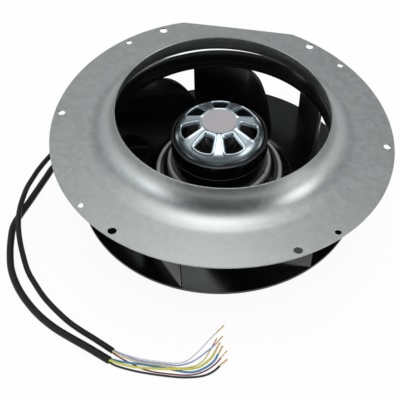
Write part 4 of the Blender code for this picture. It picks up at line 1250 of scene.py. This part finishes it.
@dataclass
class Cable:
    """One sheathed cable: its sizes, its way over the floor and its cores."""

    name: str
    angle: float
    diameter: float
    core_diameter: float
    tip_diameter: float
    route: tuple[tuple[float, float, float], ...]
    cores: dict[str, tuple[tuple[float, float, float], ...]]
    base_radius: float = 0.057
    gland_reach: float = 0.024
    gland_z: float = 0.0086
    gland_bite: float = 0.0008
    gland_flange: tuple[tuple[float, float, float], ...] = ((0.003, GAP, 0.0004), (0.003, 0.005, 0.0006))
    gland_rib: tuple[tuple[float, float, float], ...] = (
        (-0.0006, 0.0, 0.0), (-0.0006, 0.0010, 0.0), (0.0, 0.0013, 0.0002), (-0.0001, 0.0034, 0.0002))
    gland_ribs: int = 5
    ribs_from: float = 0.005
    ribs_length: float = 0.018
    gland_wall: tuple[float, float] = (0.0018, 0.0006)
    gland_end: tuple[float, float] = (0.0005, 0.0002)
    gland_steps: int = 48
    straight: float = 0.007
    sheath_spacing: float = 0.002
    sheath_sides: int = 24
    core_spacing: float = 0.0012
    core_sides: int = 16
    stripe: tuple[int, int] = (9, 14)
    tip_length: float = 0.0095
    strands: int = 9
    strand_share: float = 0.2
    strand_sides: int = 8
    strand_steps: int = 16
    strand_turns: float = 1.1
    strand_flare: float = 0.12
    strand_stagger: float = 0.02

    def sheath_path(self) -> list[Vector]:
        """Lays the sheath's centreline, straight out of its gland, then along the floor.

        Returns:
            Points in the fan's frame.
        """
        mouth = self.base_radius + self.gland_reach + GAP
        exit_point = Vector((*on_circle(mouth, self.angle), self.gland_z))
        turning = Vector((*on_circle(mouth + self.straight, self.angle), self.gland_z))
        return [exit_point] + smooth_route([turning] + [Vector(p) * MM for p in self.route],
                                           self.sheath_spacing)

    def build(self) -> None:
        """Makes the sheath, its gland, its cores and their bare ends."""
        path = self.sheath_path()
        tube = swept(path, self.diameter / 2, self.sheath_sides)
        sheath = show(f"{self.name}_sheath", tube, paint("sheath"))
        install(sheath, f"{self.name}_cable", Body.STATOR)
        self.build_gland()
        for colour, route in self.cores.items():
            self.build_core(colour, route)

    def build_gland(self) -> None:
        """Makes the ribbed rubber strain relief where the cable leaves the base."""
        half = self.diameter / 2
        bore = half - self.gland_bite
        thick, thin = self.gland_wall
        corners = [(bore, GAP, 0), *((half + out, along, bend) for out, along, bend in self.gland_flange)]
        for rib in range(self.gland_ribs):
            share = rib / self.gland_ribs
            start = self.ribs_from + self.ribs_length * share
            crest = half + thick - (thick - thin) * share
            corners += [(crest + out, start + along, bend) for out, along, bend in self.gland_rib]
        end_wall, end_bend = self.gland_end
        corners += [(half + end_wall, self.gland_reach, end_bend), (bore, self.gland_reach, 0)]
        mesh = revolved(rounded(corners, radians(30)), self.gland_steps)
        place = Matrix.Translation((*on_circle(self.base_radius, self.angle), self.gland_z))
        mesh.transform(place @ Matrix.Rotation(self.angle, 4, "Z") @ Matrix.Rotation(pi / 2, 4, "Y"))
        gland = show(f"{self.name}_strain_relief", mesh, paint("rubber"))
        install(gland, f"{self.name}_gland", Body.STATOR)

    def build_core(self, colour: str, route: Sequence[Sequence[float]]) -> None:
        """Makes one insulated core and its bare copper strands.

        Args:
            colour: The core's colour, as in its node's name.
            route: The core's way, in millimetres.
        """
        path = smooth_route([Vector(p) * MM for p in route], self.core_spacing)
        striped = colour == "green_yellow"
        stripe = self.stripe if striped else (0, 0)
        mesh = swept(path, self.core_diameter / 2, self.core_sides, stripe)
        core = show(f"core_{colour}_insulation", mesh, paint("stripe_yellow" if striped else colour))
        if striped:
            mesh.materials.append(paint("stripe_green"))
        install(core, f"core_{colour}", Body.STATOR)
        tip = show(f"strands_{colour}", self.strand_mesh(path), paint("copper"))
        install(tip, f"tip_{colour}", Body.STATOR)

    def strand_mesh(self, path: Sequence[Vector]) -> Mesh:
        """Twisted strands that go on from a core's end.

        Args:
            path: The core's centreline.

        Returns:
            All strands in one mesh.
        """
        heading = path[-1] - path[-2]
        heading.z = 0
        heading.normalize()
        across = Vector((-heading.y, heading.x, 0))
        start = path[-1] + heading * GAP
        strand = self.tip_diameter * self.strand_share
        meshes = []
        for index in range(self.strands):
            reach = 0.0 if index == 0 else self.tip_diameter / 2 - strand
            length = self.tip_length * (1 - self.strand_stagger * (index % 3))
            points = []
            for step in range(self.strand_steps + 1):
                share = step / self.strand_steps
                angle = 2 * pi * (index / (self.strands - 1) + self.strand_turns * share)
                flare = 1.0 + self.strand_flare * share ** 3
                ring = across * cos(angle) * reach * flare + Vector((0, 0, 1)) * sin(angle) * reach
                points.append(start + heading * length * share + ring)
            meshes.append(swept(points, strand, self.strand_sides))
        return merged(meshes)


MAINS = Cable(
    "mains", radians(158), 0.0070, 0.0020, 0.0017,
    route=(
        (-92, 36.5, 6.6), (-110, 42.5, 4.2), (-129, 45.5, 3.6), (-150, 44, 3.6), (-169, 35, 3.6),
        (-182, 20, 3.6), (-187, 2, 3.6), (-191, -15, 3.6), (-195, -32, 3.6), (-200, -52, 3.6),
        (-202.5, -68, 3.6), (-199.5, -87, 3.6), (-195, -104, 3.6), (-189, -120, 3.6), (-180, -135, 3.6),
        (-169, -148.5, 3.6), (-156, -161, 3.6), (-143, -171, 3.6), (-128, -180, 3.6), (-111, -188, 3.6),
        (-94, -195.5, 3.6), (-74, -205, 3.6),
    ),
    cores={
        "black": (
            (-73.8, -206.4, 2.6), (-66, -209, 2.0), (-52, -211, 1.2), (-38, -212.2, 1.2),
            (-24, -212.6, 1.2), (-10, -212.4, 1.2), (3, -210.6, 1.2), (12, -207.6, 1.2), (18.5, -203, 1.2),
            (23, -197.6, 1.2)),
        "green_yellow": (
            (-73.9, -205.6, 5.0), (-63, -207.4, 3.9), (-52, -208.4, 3.3), (-42, -208.2, 3.1),
            (-32, -207.6, 3.0), (-22, -207.0, 3.4), (-12, -206.0, 3.8), (-3, -204.2, 2.6), (5, -200.6, 1.2),
            (11, -195.2, 1.2), (15.4, -189.4, 1.2), (17.6, -183.4, 1.2)),
        "blue": (
            (-72.4, -203.6, 3.4), (-63, -204.8, 3.3), (-52, -205.0, 3.1), (-42, -204.9, 2.6),
            (-30, -205.0, 1.3), (-20, -205.7, 1.2), (-12, -206.5, 1.2), (-3, -206.7, 1.2), (5, -204.4, 1.2),
            (13, -198.6, 1.2), (18, -192.4, 1.2), (20.4, -186.2, 1.2)),
    },
)
SIGNAL = Cable(
    "signal", radians(141), 0.0055, 0.0014, 0.0013,
    route=(
        (-76, 61, 6.6), (-92, 71, 3.8), (-110, 80, 2.9), (-131, 84, 2.9), (-152, 79, 2.9), (-171, 66, 2.9),
        (-184, 50, 2.9), (-192, 33, 2.9), (-198, 15, 3.0), (-201, -2, 4.2), (-202, -18, 7.0),
        (-201, -33, 9.8), (-200, -47, 10.7), (-198, -60, 10.4), (-195.5, -71, 7.6), (-191, -84, 4.2),
        (-184, -99, 2.9), (-173, -119, 2.9), (-161, -134, 2.9), (-149, -147, 2.9), (-135, -159, 2.9),
        (-120, -170, 2.9), (-107, -177.5, 2.9), (-90, -186, 2.9), (-73, -195, 2.9),
    ),
    cores={
        "red": (
            (-73.3, -196.2, 1.9), (-66, -199.8, 1.2), (-58, -203.0, 0.9), (-51, -205.6, 0.9),
            (-44, -208.2, 0.9), (-34, -209.9, 0.9), (-22, -210.2, 0.9), (-10, -210.0, 0.9),
            (-1, -208.9, 0.9), (7, -206.0, 0.9), (14, -201.2, 0.9), (19.5, -195.2, 0.9), (23, -189.6, 0.9)),
        "yellow": (
            (-73.1, -195.8, 3.9), (-64, -199.0, 2.4), (-52, -201.6, 1.0), (-40, -202.8, 0.9),
            (-26, -203.0, 0.9), (-13, -203.6, 0.9), (-3, -201.6, 0.9), (4, -198.0, 0.9), (9, -192.2, 0.9),
            (11.8, -186.0, 0.9), (14.2, -179.2, 0.9)),
        "light_blue": (
            (-72.3, -194.4, 3.9), (-64, -197.2, 2.4), (-52, -199.9, 1.0), (-40, -201.1, 0.9),
            (-26, -201.3, 0.9), (-14, -201.2, 0.9), (-4, -197.6, 1.0), (3, -192.6, 1.6), (9, -187.0, 2.9),
            (14, -181.2, 2.8), (17.4, -176.0, 1.8)),
        "white": (
            (-72.4, -194.3, 1.9), (-64, -195.8, 1.2), (-52, -198.1, 0.9), (-40, -199.3, 0.9),
            (-26, -199.6, 0.9), (-15, -199.2, 0.9), (-6, -195.4, 0.9), (1.4, -187.0, 0.9),
            (7.2, -178.2, 0.9), (12.0, -170.6, 0.9), (16.8, -163.8, 0.9)),
    },
)


@dataclass
class Motor:
    """Motor pieces whose solids are right as they are and only get a finish."""

    finishes: dict[str, str] = field(default_factory=lambda: {
        "motor_base": "cast", "electronics_cover": "cast", "circuit_board": "board",
        "bearing_tube": "steel", "bearing_lower": "steel", "bearing_upper": "steel",
        "stator_core": "laminate", "winding_lower": "winding", "winding_upper": "winding",
        "shaft": "steel", "retaining_ring": "steel", "shaft_bush": "phosphated",
        "magnet_ring": "magnet", **{f"cover_screw_{number}": "steel" for number in range(1, 5)}})

    def build(self) -> None:
        """Gives each solid its finish."""
        for node, finish in self.finishes.items():
            obj = frame["nodes"][node]
            obj.data.materials.clear()
            obj.data.materials.append(paint(finish))


@dataclass
class Studio:
    """Floor, lamps, surroundings and the camera."""

    camera_place: tuple[float, float, float] = (0.0559, -0.5160, 0.5965)
    pitch: float = radians(49.24)
    yaw: float = radians(-8.39)
    roll: float = radians(-1.27)
    focal_length: float = 67.56
    sensor_width: float = 36.0
    nearest: float = 0.01
    floor_middle: tuple[float, float, float] = (0.0, 1.2, -GAP)
    floor_reach: float = 2.0
    floor_shade: float = 0.86
    floor_glow: float = 0.93
    level: float = 0.8
    sky: tuple[Point2, ...] = (
        (0.0, 0.75), (0.25, 0.70), (0.50, 0.34), (0.68, 0.24), (0.85, 0.85), (1.0, 0.6))
    sky_tint: Colour = (0.965, 1.0, 1.01)
    patches: tuple[tuple[tuple[float, float, float], float, float, float], ...] = (
        ((0.08, -0.98, 0.17), radians(38), radians(60), 0.16),
        ((-0.80, -0.30, 0.52), radians(14), radians(42), 1.8),
        ((-0.686, -0.686, 0.242), radians(6), radians(22), 3.0),
    )
    lamp_aim: tuple[float, float, float] = (0.0, 0.0, 0.06)
    lamps: tuple[tuple[str, tuple[float, float, float], float, float], ...] = (
        ("overhead", (0.0, -0.25, 1.6), 1.1, 5.0),
        ("back", (-0.05, 0.55, 1.45), 0.5, 1.1),
        ("right", (1.5, -0.35, 0.75), 0.9, 4.6),
    )

    def add_camera(self) -> None:
        """Makes the camera at the photograph's viewing angle."""
        level = Vector((cos(self.yaw), -sin(self.yaw), 0))
        ahead = Vector((sin(self.yaw), cos(self.yaw), 0))
        forward = ahead * cos(self.pitch) - Vector((0, 0, sin(self.pitch)))
        up = level.cross(forward)
        right = level * cos(self.roll) + up * sin(self.roll)
        head = up * cos(self.roll) - level * sin(self.roll)
        lens = bpy.data.cameras.new("camera")
        lens.lens = self.focal_length
        lens.sensor_width = self.sensor_width
        lens.sensor_fit = "HORIZONTAL"
        lens.clip_start = self.nearest
        camera = bpy.data.objects.new("camera", lens)
        bpy.context.scene.collection.objects.link(camera)
        turn = Matrix((right, head, -forward)).transposed()
        camera.matrix_world = Matrix.Translation(self.camera_place) @ turn.to_4x4()
        bpy.context.scene.camera = camera

    def add_floor(self) -> None:
        """Makes the pale floor, which shows near white and keeps a soft shadow."""
        bm = bmesh.new()
        middle = Matrix.Translation(self.floor_middle)
        bmesh.ops.create_grid(bm, x_segments=1, y_segments=1, size=self.floor_reach, matrix=middle)
        material = bpy.data.materials.new("pale_floor")
        material.use_nodes = True
        graph = Graph(material.node_tree)
        material.node_tree.nodes.remove(material.node_tree.nodes["Principled BSDF"])
        diffuse = graph.node("ShaderNodeBsdfDiffuse", Color=rgba((self.floor_shade,) * 3))
        glow = graph.node("ShaderNodeEmission", Color=WHITE, Strength=1.0)
        share = graph.maths("MULTIPLY", self.seen_directly(graph), self.floor_glow)
        mixed = graph.node("ShaderNodeMixShader", Fac=share)
        graph.feed(mixed.inputs[1], diffuse.outputs[0])
        graph.feed(mixed.inputs[2], glow.outputs[0])
        graph.feed(material.node_tree.nodes["Material Output"].inputs["Surface"], mixed.outputs[0])
        show("floor", bake(bm), material)

    def add_lamps(self) -> None:
        """Hangs the soft lamps, each facing the fan."""
        for name, place, size, power in self.lamps:
            light = bpy.data.lights.new(name, "AREA")
            light.shape = "DISK"
            light.size = size
            light.energy = power
            lamp = bpy.data.objects.new(name, light)
            bpy.context.scene.collection.objects.link(lamp)
            lamp.location = place
            towards = Vector(self.lamp_aim) - Vector(place)
            lamp.rotation_euler = towards.to_track_quat("-Z", "Y").to_euler()

    def add_surroundings(self) -> None:
        """White for the camera; for light and reflections a room that is darker towards the front."""
        world = bpy.data.worlds.new("studio")
        world.use_nodes = True
        bpy.context.scene.world = world
        graph = Graph(world.node_tree)
        background = world.node_tree.nodes["Background"]
        direction = graph.node("ShaderNodeTexCoord").outputs["Generated"]
        height = graph.node("ShaderNodeSeparateXYZ", Vector=direction)
        ramp = graph.node("ShaderNodeFloatCurve")
        graph.feed(ramp.inputs["Value"], height.outputs["Z"])
        curve = ramp.mapping.curves[0]
        curve.points[0].location = self.sky[0]
        curve.points[1].location = self.sky[-1]
        for point in self.sky[1:-1]:
            curve.points.new(*point)
        ramp.mapping.update()
        room = ramp.outputs["Value"]
        for aim, inner, outer, factor in self.patches:
            near = graph.node("ShaderNodeVectorMath", {"operation": "DOT_PRODUCT"})
            graph.feed(near.inputs[0], direction)
            graph.feed(near.inputs[1], Vector(aim).normalized())
            share = graph.spread(near.outputs["Value"], 1.0, factor, cos(outer), cos(inner))
            room = graph.maths("MULTIPLY", room, share)
        path = graph.node("ShaderNodeLightPath")
        mirrored = graph.maths("MAXIMUM", path.outputs["Is Glossy Ray"],
                               path.outputs["Is Transmission Ray"])
        tinted = graph.node("ShaderNodeVectorMath", {"operation": "SCALE"}, Vector=self.sky_tint, Scale=room)
        lit = graph.blend(mirrored, rgba((self.level,) * 3), tinted.outputs[0])
        shade = graph.blend(path.outputs["Is Camera Ray"], lit, WHITE)
        graph.feed(background.inputs["Color"], shade)
        background.inputs["Strength"].default_value = 1.0

    @staticmethod
    def seen_directly(graph: Graph) -> NodeSocket:
        """One for rays that show the floor to the camera, straight or through gloss or glass.

        Args:
            graph: The floor material's graph.

        Returns:
            The share's socket.
        """
        path = graph.node("ShaderNodeLightPath")
        shiny = graph.maths("MAXIMUM", path.outputs["Is Glossy Ray"], path.outputs["Is Transmission Ray"])
        return graph.maths("MAXIMUM", path.outputs["Is Camera Ray"], shiny)

    def build(self) -> None:
        """Sets up everything that isn't the fan."""
        bpy.context.scene.view_settings.view_transform = "Standard"
        self.add_camera()
        self.add_floor()
        self.add_lamps()
        self.add_surroundings()


# Whole fan


def main() -> None:
    """Builds the studio and the fan's pieces in order, and reports each piece that shows."""
    logging.basicConfig(level=logging.INFO, format="%(name)s: %(message)s")
    for part in (Studio(), MAINS, SIGNAL, InletRing(), RotorCan(), Impeller(), Motor()):
        part.build()
    for piece in bpy.data.objects:
        if piece.type == "MESH" and not piece.hide_render:
            LOG.info("%s: %d faces in %s", piece.name, len(piece.data.polygons), piece.data.materials[0].name)


if __name__ == "__main__":
    main()
